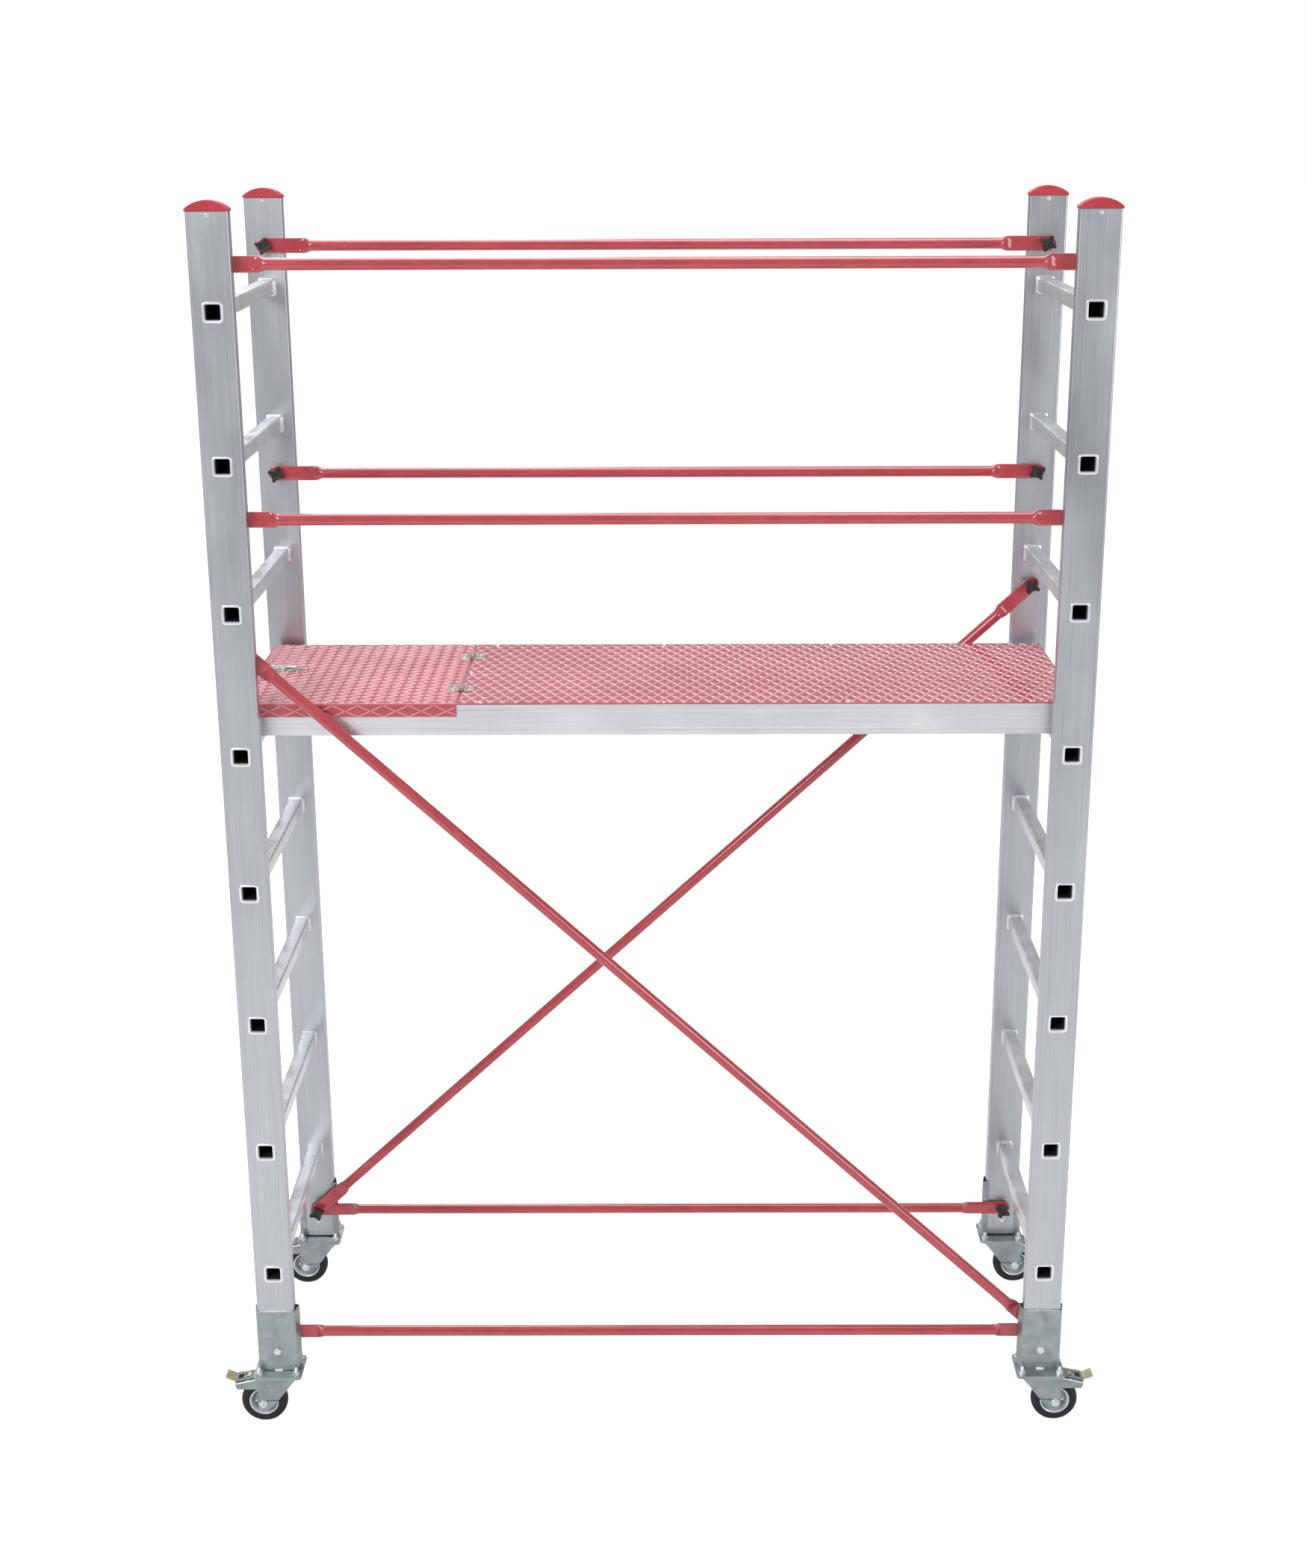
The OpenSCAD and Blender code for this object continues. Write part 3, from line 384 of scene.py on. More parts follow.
yellow_zinc = finish(
    "yellow_zinc", (0.58, 0.53, 0.34), (0.82, 0.77, 0.56), (0.24, 0.40), metallic=1.0,
    scale=60, patch=40)
# Bright plated rim, made near white and part diffuse as a painted reflection
rim_bright_reflection = finish(
    "rim_steel", (0.92, 0.93, 0.94), (0.98, 0.98, 0.99), (0.18, 0.30), metallic=0.35,
    scale=120, patch=50)
web_metal = finish(
    "rim_web", (0.18, 0.23, 0.27), (0.34, 0.41, 0.45), (0.30, 0.45), metallic=0.9,
    scale=90, patch=40)
black_plastic = finish(
    "black_plastic", (0.008, 0.008, 0.009), (0.019, 0.020, 0.022), (0.32, 0.48),
    scale=120, bump=0.3, bump_depth=0.0003, bump_scale=700)
rubber = finish(
    "black_rubber", (0.006, 0.006, 0.007), (0.016, 0.016, 0.018), (0.50, 0.68),
    scale=60, bump=0.35, bump_scale=500)


def dress(node, material):
    data = nodes[node].data
    data.materials.clear()
    data.materials.append(material)


for leg in LEGS:
    dress(f"{leg}_stile", stile_metal)
for node in ("platform_side_rails", "platform_cross_members"):
    dress(node, rail_metal)
for node in ("leg_brackets", "caster_plates"):
    dress(node, galvanised)
dress("deck_rivets", zinc)


# ---------- ladder ends ----------

def square_ring(half, corner, y):
    return [(x, y, z) for x, z in rounded(2 * half, 2 * half, corner)]


def swaged_rung():
    """Rings from inside one mouth, over its lip, along the outside and into the other mouth"""
    end = RUNG_REACH
    # Half width, corner radius and place along the rung
    half_rung = [
        (13.6, 2.6, end - 6), (14.2, 3.2, end - 1.6), (15.2, 4.2, end - 0.4), (16.8, 5.6, end),
        (18.3, 6.7, end - 0.3), (COLLAR_HALF, 7, end - 0.9), (COLLAR_HALF, 7, OUTER_Y),
        (RUNG_HALF, 4, OUTER_Y - 0.2), (RUNG_HALF, 4, INNER_Y + 0.2),
        (COLLAR_HALF, 7, INNER_Y), (COLLAR_HALF, 7, INNER_Y - 1.0), (18.4, 6.6, INNER_Y - 2.1),
        (17, 5.5, INNER_Y - 2.8), (15.6, 4.4, INNER_Y - 3.0), (RUNG_HALF, 4, INNER_Y - 3.4),
        (RUNG_HALF, 4, INNER_Y - 30), (RUNG_HALF, 4, INNER_Y - 120),
    ]
    near_end = [square_ring(*h) for h in half_rung]
    return near_end + [square_ring(h, c, -y) for h, c, y in half_rung[::-1]]


for side, node in ((-1, "left_rungs"), (1, "right_rungs")):
    shape = Shape()
    rings = swaged_rung()
    for k in range(RUNGS):
        place = shift(side * STILE_X, 0, RUNG_FIRST + k * RUNG_PITCH)
        shape.skin(rings[6:-6], place, caps=False)
        # The lips and mouths are polished, and their near-white colour is also a painted highlight
        shape.skin(rings[:7], place, caps=False, group=1)
        shape.skin(rings[-7:], place, caps=False, group=1)
        # The bore between the mouths is near black, painted shade
        shape.skin([rings[-1], rings[0]], place, caps=False, group=2)
    piece(f"{node}_swaged", shape, "frame",
          [rung_metal, lip_and_hem_highlight, painted_shade], [node])

CAP_SEAM = 0.6  # gap between the cap and the stile; the near-black plate in it is painted shade
CAP_EDGE = 4  # the cap's height at its sides
CAP_RIVET_DROP = 6
shape, rivets = Shape(), Shape()
low, high = box_mm("stile_caps")
cap_half = high.x - STILE_X
cap_rise = high.z - STILE_TOP - CAP_SEAM
arch_rise = cap_rise - CAP_EDGE
arch = (cap_half ** 2 + arch_rise ** 2) / (2 * arch_rise)
outline = [(-cap_half, 0), (cap_half, 0)]
for i in range(33):
    x = cap_half * (1 - 2 * i / 32)
    outline.append((x, cap_rise - arch + sqrt(arch ** 2 - x * x)))
for leg in LEGS:
    place = on_leg(leg) @ shift(0, 0, STILE_TOP)
    shape.slab_y([outline], -HALF_D - 1.5, HALF_D + 1.5, 1.1, place @ shift(0, 0, CAP_SEAM))
    # A near-black plate fills the gap under the cap, painted shade
    shape.plate([rounded(2 * cap_half - 2, 2 * HALF_D + 0.8, 1.5)], 0, 0.8, 0, place, 1)
    shape.plate([rounded(72.6, 20.6, 1.5)], -28, 0.5, 0, place)
    for s in (-1, 1):
        rivets.dome(4.2, 1.6, place @ shift(0, s * HALF_D, -CAP_RIVET_DROP) @ turn(-90 * s, "X"))
piece("stile_caps_moulded", shape, "frame", [cap_plastic, painted_shade], ["stile_caps"])
piece("cap_rivets_domed", rivets, "frame", zinc, ["cap_rivets"])


# ---------- braces ----------

def smooth(t):
    t = min(1, max(0, t))
    return t * t * (3 - 2 * t)


def brace(shape, length, start, end, place):
    """Tube with flattened ends; start and end are the flats' offsets from its axis"""
    near = [-18, -17.6, -16.6, -15, -12.5, -9.5, -6, -3, 6, 25, 45, 60]
    near += [66 + 2 * i for i in range(16)] + [104, 120, 200]
    stations = [(u, start, u) for u in near] + [(u, end, length - u) for u in near[::-1]]
    rings = []
    for u, offset, x in stations:
        reach = FLAT_HALF if u > -3 else max(1.2, sqrt(max(0, FLAT_HALF ** 2 - (u + 3) ** 2)))
        ring = []
        for i in range(40):
            a = 2 * pi * i / 40
            c, s = cos(a), sin(a)
            k = smooth((u - 75 - 6 * s * s) / (21 - 6 * s * s))
            power = 2 / (4.5 - 2.5 * k)
            h = reach * (1 - k) + TUBE_R * k
            t = FLAT_T * (1 - k) + TUBE_R * k
            z = h * copysign(abs(s) ** power, s)
            # A small dent on each face, where the flat ends
            t -= 1.7 * exp(-((u - 71) ** 2 + (abs(z) - 6) ** 2) / 9)
            y = t * copysign(abs(c) ** power, c)
            ring.append((x, y + offset * (1 - smooth((u - 75) / 21)), z))
        rings.append(ring)
    shape.skin(rings, place)


LADDER_PITCH = 2 * STILE_X
BOTTOM_SEAT = 2.8  # the bottom braces' distance from the stile
shape = Shape()
for row in (-1, 1):
    for z in (TOP_RAIL_Z, MID_RAIL_Z):
        brace(shape, LADDER_PITCH, 0, 0, shift(-STILE_X, row * RAIL_Y, z))
piece("guard_rails_tubes", shape, "frame", brace_paint, ["guard_rails"])

shape = Shape()
for row in (-1, 1):
    brace(shape, LADDER_PITCH, 0, 0, shift(-STILE_X, row * (INNER_Y - BOTTOM_SEAT - FLAT_T), BOTTOM_Z))
piece("bottom_braces_tubes", shape, "frame", brace_paint, ["bottom_braces"])

DIAGONAL_Y = INNER_Y - 6.4
low, high = box_mm("front_diagonal_knob")
DIAGONAL_Z = (low.z + high.z) / 2
fall = DIAGONAL_Z - BOTTOM_Z
length = sqrt(LADDER_PITCH ** 2 + fall ** 2)
lean = Matrix.Rotation(atan2(fall, LADDER_PITCH), 4, "Y")
# The upper flat lies on the stile, and the lower one on the bottom brace's flat
upper_flat = DIAGONAL_Y - (INNER_Y - FLAT_T)
lower_flat = DIAGONAL_Y - (INNER_Y - BOTTOM_SEAT - 3 * FLAT_T)
for row, node in ((-1, "front_diagonal_brace"), (1, "rear_diagonal_brace")):
    shape = Shape()
    place = turn(0 if row < 0 else 180, "Z") @ shift(-STILE_X, -DIAGONAL_Y, DIAGONAL_Z) @ lean
    brace(shape, length, upper_flat, lower_flat, place)
    piece(f"{node}_tube", shape, "frame", brace_paint, [node])


# ---------- star knobs ----------

KNOB_R = 17.5
HOLLOW_AT, HOLLOW_R = 25.2, 14.7  # the four round hollows between the star's points
KNOB_H = 20
STAR_STEPS = 96


def star_radius(angle):
    """Distance from the axis to the star's edge"""
    off = (angle + pi / 4) % (pi / 2) - pi / 4
    off = abs(off) - pi / 4
    under = HOLLOW_R ** 2 - (HOLLOW_AT * sin(off)) ** 2
    if under <= 0:
        return KNOB_R
    return min(KNOB_R, HOLLOW_AT * cos(off) - sqrt(under))


def star_ring(grow, y):
    """One level of the star, its corners softened by a mean over three angles"""
    out = []
    for i in range(STAR_STEPS):
        a = 2 * pi * i / STAR_STEPS
        r = sum(star_radius(a + 0.035 * k) for k in (-1, 0, 1)) / 3 + grow
        out.append((r * cos(a), y, r * sin(a)))
    return out


def round_ring(r, y):
    return [(x, y, z) for x, z in circle(r, n=STAR_STEPS)]


# Each knob's leg, height and resting angle
KNOBS = {
    "front_top_left": ("front_left", TOP_RAIL_Z, 12), "front_top_right": ("front_right", TOP_RAIL_Z, 31),
    "front_mid_left": ("front_left", MID_RAIL_Z, 55), "front_mid_right": ("front_right", MID_RAIL_Z, 8),
    "front_diagonal": ("front_left", DIAGONAL_Z, 40), "front_bottom_left": ("front_left", BOTTOM_Z, 22),
    "front_bottom_right": ("front_right", BOTTOM_Z, 65), "rear_top_left": ("rear_left", TOP_RAIL_Z, 16),
    "rear_top_right": ("rear_right", TOP_RAIL_Z, 25), "rear_mid_left": ("rear_left", MID_RAIL_Z, 20),
    "rear_mid_right": ("rear_right", MID_RAIL_Z, 60), "rear_diagonal": ("rear_right", DIAGONAL_Z, 28),
    "rear_bottom_left": ("rear_left", BOTTOM_Z, 70), "rear_bottom_right": ("rear_right", BOTTOM_Z, 30),
}
for name, (leg, z, angle) in KNOBS.items():
    node = f"{name}_knob"
    low, high = box_mm(node)
    base = min(abs(low.y), abs(high.y)) - STILE_Y + KNOB_H
    shape = Shape()
    shape.skin([
        round_ring(7.4, base), round_ring(8, base - 0.8), round_ring(8, base - 6), round_ring(9, base - 7.2),
        star_ring(-2.2, base - 7.6), star_ring(-0.6, base - 8.4), star_ring(0, base - 10),
        star_ring(0, base - 17), star_ring(-0.6, base - 18.8), star_ring(-2.2, base - 19.9),
        round_ring(6.2, base - 20), round_ring(5.2, base - 19.6),
        round_ring(4.6, base - 18.2), round_ring(0.8, base - 18.0),
    ], on_leg(leg) @ shift(0, 0, z) @ turn(angle, "Y"))
    piece(f"{node}_moulded", shape, node, black_plastic, [node])


# ---------- platform ----------

def clipped(x0, y0, x1, y1, box):
    """The part of a line inside a box, as its two ends, or None"""
    t0, t1 = 0.0, 1.0
    sides = ((x0 - x1, x0 - box[0]), (x1 - x0, box[1] - x0),
             (y0 - y1, y0 - box[2]), (y1 - y0, box[3] - y0))
    for p, q in sides:
        if abs(p) < 1e-9:
            if q < 0:
                return None
        elif p < 0:
            t0 = max(t0, q / p)
        else:
            t1 = min(t1, q / p)
    if t0 >= t1:
        return None
    dx, dy = x1 - x0, y1 - y0
    return x0 + t0 * dx, y0 + t0 * dy, x0 + t1 * dx, y0 + t1 * dy


def tread(shape, box, period_x, period_y, place, height=1.4, half_width=2.3, avoid=()):
    """Raised bars in a lattice of rhombi inside a box, in the second material, a lighter red that paints
    their highlight
    """
    nx = int((box[1] - box[0]) / period_x) + 3
    ny = int((box[3] - box[2]) / period_y) + 3
    cx, cy = (box[0] + box[1]) / 2, (box[2] + box[3]) / 2
    for i in range(-nx, nx):
        for j in range(-ny, ny):
            if (i + j) % 2:
                continue
            x, y = cx + i * period_x / 2, cy + j * period_y / 2
            for s in (-1, 1):
                line = clipped(x, y, x + s * period_x / 2, y + period_y / 2, box)
                if not line:
                    continue
                a, b = Vector(line[:2]), Vector(line[2:])
                run = b - a
                if run.length < 5:
                    continue
                middle = (a + b) / 2
                if any(l < middle.x < r and d < middle.y < u for l, r, d, u in avoid):
                    continue
                t = run.normalized()
                side = Vector((-t.y, t.x))
                a, b = a + t * 0.9, b - t * 0.9
                points = []
                for share, h, w in ((0, 0.0, 0.6), (0.1, 1.0, 1.0), (0.9, 1.0, 1.0), (1, 0.0, 0.6)):
                    c = a.lerp(b, share)
                    for v, z in ((-1, 0), (-0.6, 0.7), (0, 1), (0.6, 0.7), (1, 0)):
                        p = c + side * (v * w * half_width)
                        points.append((p.x, p.y, z * h * height))
                faces = [[5 * k + m, 5 * k + m + 1, 5 * k + m + 6, 5 * k + m + 5]
                         for k in range(3) for m in range(4)]
                shape.add(points, faces, place, 1)


low, high = box_mm("fixed_deck")
DECK_TOP = high.z
HINGE_X = low.x - 0.75
shape = Shape()
shape.plate([[(low.x, low.y), (high.x, low.y), (high.x, high.y), (low.x, high.y)]],
            low.z, high.z, 0.5)
tread(shape, (low.x + 2, high.x - 2, low.y + 2, high.y - 2), 25, 50, shift(0, 0, high.z))
piece("fixed_deck_sheet", shape, "platform", [deck_paint, ridge_highlight], ["fixed_deck"])

low, high = box_mm("trapdoor")
DOOR_END, DOOR_TOP = high.x, high.z
top, sheet = high.z, 2.5
half = high.y
keeper_low, keeper_high = box_mm("latch_keeper")
left, right = keeper_low.x - 1.5, keeper_high.x + 1.5
front, back = keeper_low.y - 1.5, keeper_high.y + 1.5
shape = Shape()
flat = half - 5
shape.plate([[(low.x, -flat), (high.x, -flat), (high.x, flat), (low.x, flat)],
             [(left, front), (right, front), (right, back), (left, back)]], top - sheet, top)
QUARTER = [radians(a) for a in range(0, 91, 15)]  # angles along a quarter turn
fold = [(flat, top)] + [(half - 4 + 4 * sin(a), top - 4 + 4 * cos(a)) for a in QUARTER]
fold += [(half, low.z), (half - 2, low.z)]
fold += [(half - 4 + 2 * sin(a), top - 4 + 1.5 * cos(a)) for a in QUARTER[::-1]]
fold += [(flat, top - sheet)]
for s in (-1, 1):
    shape.plate([[(s * y, z) for y, z in fold]], low.x, high.x, 0, IN_YZ)
stiffener = [(-12, 0), (-12, -15.5), (-10, -15.5), (-10, -2),
             (10, -2), (10, -15.5), (12, -15.5), (12, 0)]
for y in (-117, 0, 117):
    shape.plate([[(y + a, top - sheet + b) for a, b in stiffener]], -781, -421, 0, IN_YZ)
# The bars leave out the keeper's slot and the latch
tread(shape, (low.x + 2, high.x - 2, -flat, flat), 49, 25, shift(0, 0, top), half_width=1.5,
      avoid=[(left - 3, right + 3, front - 3, back + 3), (-790, -727, -3, 33)])
for s in (-1, 1):
    tread(shape, (low.x + 2, high.x - 2, -11.2, 11.2), 49, 22.4,
          shift(0, s * half, top - 14.4) @ turn(90 if s < 0 else -90, "X"), height=0.9, half_width=1.0)
piece("trapdoor_sheet", shape, "trapdoor", [deck_paint, ridge_highlight], ["trapdoor"])

low, high = box_mm("platform_side_rails")
shape = Shape()
for s in (-1, 1):
    near, far = sorted((s * (high.y - 0.5), s * (high.y + 0.6)))
    for x0, z0 in ((DOOR_END + 4, high.z - 14), (low.x + 1, low.z + 12)):
        x1, z1 = high.x - 1, z0 + 2.4
        shape.slab_y([[(x0, z0), (x1, z0), (x1, z1), (x0, z1)]], near, far, 0.3)
piece("side_rail_ribs", shape, "platform", rail_metal)


# ---------- hinges ----------

low, high = box_mm("hinge_fixed_leaves")
HINGE_Z = high.z - 4.5
HINGE_Y = high.y - 21  # half a leaf in from its end
LEAF_HALF = 21
KNUCKLE = (2 * LEAF_HALF - 0.6) / 3  # three knuckles with 0.3 between them


def knuckle(shape, y0, y1, place):
    shape.lathe([(2.2, y0), (4.1, y0), (4.5, y0 + 0.4), (4.5, y1 - 0.4), (4.1, y1), (2.2, y1)],
                place @ turn(-90, "X"), 28)


fixed, moving = Shape(), Shape()
for s in (-1, 1):
    place = shift(HINGE_X, s * HINGE_Y, HINGE_Z)
    deck, door = DECK_TOP - HINGE_Z, DOOR_TOP - HINGE_Z
    leaf = [(3, -LEAF_HALF), (25, -LEAF_HALF), (25, LEAF_HALF), (3, LEAF_HALF)]
    fixed.plate([soft_corners(leaf, [0, 3, 3, 0])], deck, deck + 2, 0.35, place)
    for y0 in (-LEAF_HALF, LEAF_HALF - KNUCKLE):
        y1 = y0 + KNUCKLE
        knuckle(fixed, y0, y1, place)
        fixed.plate([[(0, y0), (5, y0), (5, y1), (0, y1)]], deck, deck + 2, 0.2, place)
    fixed.lathe([(1.9, -21.3), (1.9, 21.3)], place @ turn(-90, "X"), 20)
    leaf = [(-25, -LEAF_HALF), (-4.8, -LEAF_HALF), (-4.8, LEAF_HALF), (-25, LEAF_HALF)]
    moving.plate([soft_corners(leaf, [3, 0, 0, 3])], door, door + 2, 0.35, place)
    y0, y1 = -KNUCKLE / 2, KNUCKLE / 2
    knuckle(moving, y0, y1, place)
    moving.plate([[(-5, y0), (0, y0), (0, y1), (-5, y1)]], door, door + 2, 0.2, place)
    for y in (-12, 12):
        fixed.dome(3.2, 1.4, place @ shift(16, y, deck + 2))
        moving.dome(3.2, 1.4, place @ shift(-16, y, door + 2))
piece("hinge_fixed_leaves_plates", fixed, "platform", steel,
      ["hinge_fixed_leaves"])
piece("hinge_moving_leaves_plates", moving, "trapdoor", steel,
      ["hinge_moving_leaves"])


# ---------- latch ----------

low, high = box_mm("latch_bolt")
BOLT_Y = (low.y + high.y) / 2
BOLT_Z = (box_mm("latch_bail")[0].z + box_mm("latch_bail")[1].z) / 2
TIP_X, BAIL_X = low.x, high.x - 4
shape = Shape()
low, high = keeper_low, keeper_high
tall = high.z - low.z
hole = [(BOLT_Y + x, BOLT_Z - low.z + y) for x, y in rounded(14, 10, 4.9)]
outline = [(low.y, 0), (high.y, 0), (high.y, tall), (low.y, tall)]
shape.plate([soft_corners(outline, [0, 0, 5, 5]), hole],
            low.x, high.x, 0.4, shift(0, 0, low.z) @ IN_YZ)
piece("latch_keeper_plate", shape, "platform", yellow_zinc, ["latch_keeper"])

low, high = box_mm("latch_body")
shape = Shape()
shape.plate([rounded(high.x - low.x, high.y - low.y, 4, (low.x + high.x) / 2, BOLT_Y)],
            low.z, low.z + 1.5, 0.3)
saddle_top = high.z - low.z
for x in (low.x, low.x + 21):
    saddle = [(-8, 1.5), (-8, saddle_top - 6)]
    saddle += [(-2 - 6 * cos(a), saddle_top - 6 + 6 * sin(a)) for a in (0.4, 0.8, 1.2, 1.57)]
    saddle += [(-u, v) for u, v in saddle[::-1]]
    ring = [(r[0], r[1] + BOLT_Z - low.z) for r in circle(4.1, n=28)]
    shape.plate([[(BOLT_Y + u, v) for u, v in loop] for loop in (saddle, ring)],
                x, x + 9, 0.4, shift(0, 0, low.z) @ IN_YZ)
for x in (low.x + 5, high.x - 5, low.x + 35):
    for s in (-1, 1):
        shape.dome(2.6, 1.5, shift(x, BOLT_Y + s * 12, low.z + 1.5))
piece("latch_body_saddles", shape, "trapdoor", steel, ["latch_body"])

shape = Shape()
run = BAIL_X - TIP_X
shape.lathe([(2.2, 0), (3.2, 0.5), (3.9, 1.8), (4, 3),
             (4, run + 2), (3.2, run + 3.6), (1.8, run + 4)],
            shift(TIP_X, BOLT_Y, BOLT_Z) @ turn(90, "Y"), 32)
shape.lathe([(1.5, -14), (1.5, 14)], shift(BAIL_X, BOLT_Y, BOLT_Z) @ turn(90, "X"), 20)
piece("latch_bolt_rod", shape, "latch_bolt", steel, ["latch_bolt"])

shape = Shape()
low, high = box_mm("latch_bail")
far = high.x - 1.5 - BAIL_X
path = [(3, -11)] + [(far - 5 + 5 * sin(a), -6 - 5 * cos(a)) for a in QUARTER]
path += [(far - 5 + 5 * cos(a), 6 + 5 * sin(a)) for a in QUARTER] + [(3, 11)]
shape.tube([(x, y, 0) for x, y in path], 1.5, shift(BAIL_X, BOLT_Y, BOLT_Z))
for s in (-1, 1):
    shape.lathe([(1.6, -1.5), (3, -1.5), (3.5, -0.9), (3.5, 0.9), (3, 1.5), (1.6, 1.5)],
                shift(BAIL_X, BOLT_Y + s * 11, BOLT_Z) @ turn(90, "X"), 24, closed=True)
piece("latch_bail_wire", shape, "latch_bail", steel, ["latch_bail"])


# ---------- leg brackets, plates and bolts ----------

bolts, welds, seam_shadows, raceways = Shape(), Shape(), Shape(), Shape()
LEG_BOLT_Z = FOOT_TOP + LEG_BOLT_RISE
sleeve_out = HALF_D + 2.5
for leg in LEGS:
    place = on_leg(leg)
    for sx in (-1, 1):
        for sy in (-1, 1):
            spot = place @ shift(sx * 39, sy * 30, 0)
            bolts.hexagon(13, PLATE_BOTTOM - 4.5, PLATE_BOTTOM, spot)
            bolts.hexagon(13, FOOT_TOP + 1.2, FOOT_TOP + 6.4, spot)
            bolts.lathe([(4.2, FOOT_TOP), (7.8, FOOT_TOP), (8, FOOT_TOP + 0.3),
                         (8, FOOT_TOP + 1.0), (4.2, FOOT_TOP + 1.2)], spot, 28)
            bolts.thread(4, FOOT_TOP + 6.2, FOOT_TOP + 16.4, spot)
            bolts.lathe([(3.4, PLATE_BOTTOM - 1), (3.4, FOOT_TOP + 6.5)], spot, 16)
    across = place @ shift(0, 0, LEG_BOLT_Z) @ turn(-90, "X")
    bolts.lathe([(4.2, sleeve_out), (8, sleeve_out), (8, sleeve_out + 1.2),
                 (4.2, sleeve_out + 1.3)], across, 28)
    bolts.hexagon(13, sleeve_out + 1.2, sleeve_out + 5.3, across)
    bolts.lathe([(3.6, -HALF_D - 7), (3.6, sleeve_out + 1)], across, 16)
    bolts.lathe([(4.2, -HALF_D), (8, -HALF_D), (8, -HALF_D - 1.6), (4.2, -HALF_D - 1.6)],
                across, 28)
    bolts.hexagon(13, -HALF_D - 8, -HALF_D - 1.6, across)
    bolts.thread(4, -HALF_D - 17, -HALF_D - 7.8, across)
    # The weld sits farther out on the one leg that has the angle strip
    out = 2.6 if leg == "front_right" else 0
    for x in (-5, 0, 5):
        bead = shift(x, sleeve_out - 0.6 + out, FOOT_TOP + 0.6 + out) @ turn(-45, "X")
        welds.dome(4.4, 3.4, place @ bead, n=16)
    y0, y1 = sleeve_out - 2.4, sleeve_out + 0.3
    welds.plate([[(-34, y0), (34, y0), (34, y1), (-34, y1)]],
                BRACKET_TOP - 1.2, BRACKET_TOP + 0.2, 0.2, place)
    # Thin near-black strips at each sleeve's foot, painted shadow of the gap above the foot plate
    for sx in (-1, 1):
        seam_shadows.slab_y([[(sx * 9, FOOT_TOP), (sx * 30, FOOT_TOP),
                       (sx * 30, FOOT_TOP + 1.3), (sx * 9, FOOT_TOP + 0.9)]],
                     sleeve_out - 1, sleeve_out + 0.25, 0, place)
    raceways.lathe([(28.4, -1.6), (30.2, -1.3), (30.8, 0), (30.2, 1.3), (28.4, 1.6)],
                   on_caster(leg) @ shift(0, 0, PLATE_BOTTOM - 3), 64)
piece("bracket_bolts_threaded", bolts, "frame", zinc, ["bracket_bolts"])
ledge = 38 - sleeve_out
strip = Shape()
strip.plate([[(0, 0), (ledge, 0), (ledge, 1.8), (1.8, 1.8), (1.8, 14), (0, 14)]], -30, 30, 0.3,
            on_leg("front_right") @ shift(0, sleeve_out, FOOT_TOP) @ IN_YZ)
piece("foot_angle_strip", strip, "frame", galvanised)
piece("leg_bracket_welds", welds, "frame", zinc)
piece("leg_bracket_seam_shadows", seam_shadows, "frame", painted_shade)
piece("caster_raceways", raceways, "frame", zinc)


# ---------- casters ----------

AXLE_Z = (box_mm("front_left_tyre")[0].z + box_mm("front_left_tyre")[1].z) / 2
WHEEL_R = AXLE_Z  # the wheels stand on the floor
OFFSET = 36.0  # from the swivel's axis to the axle
RIM_R = 31.0
px, pz = 56.0, AXLE_Z + PEDAL_RISE  # the pedal's pivot


def mirrored(half):
    """A profile whose second half repeats the first on the other side of the wheel"""
    return half + [(r, -z) for r, z in half[::-1]]


def on_side(s, y0, y1):
    return (y0, y1) if s > 0 else (-y1, -y0)


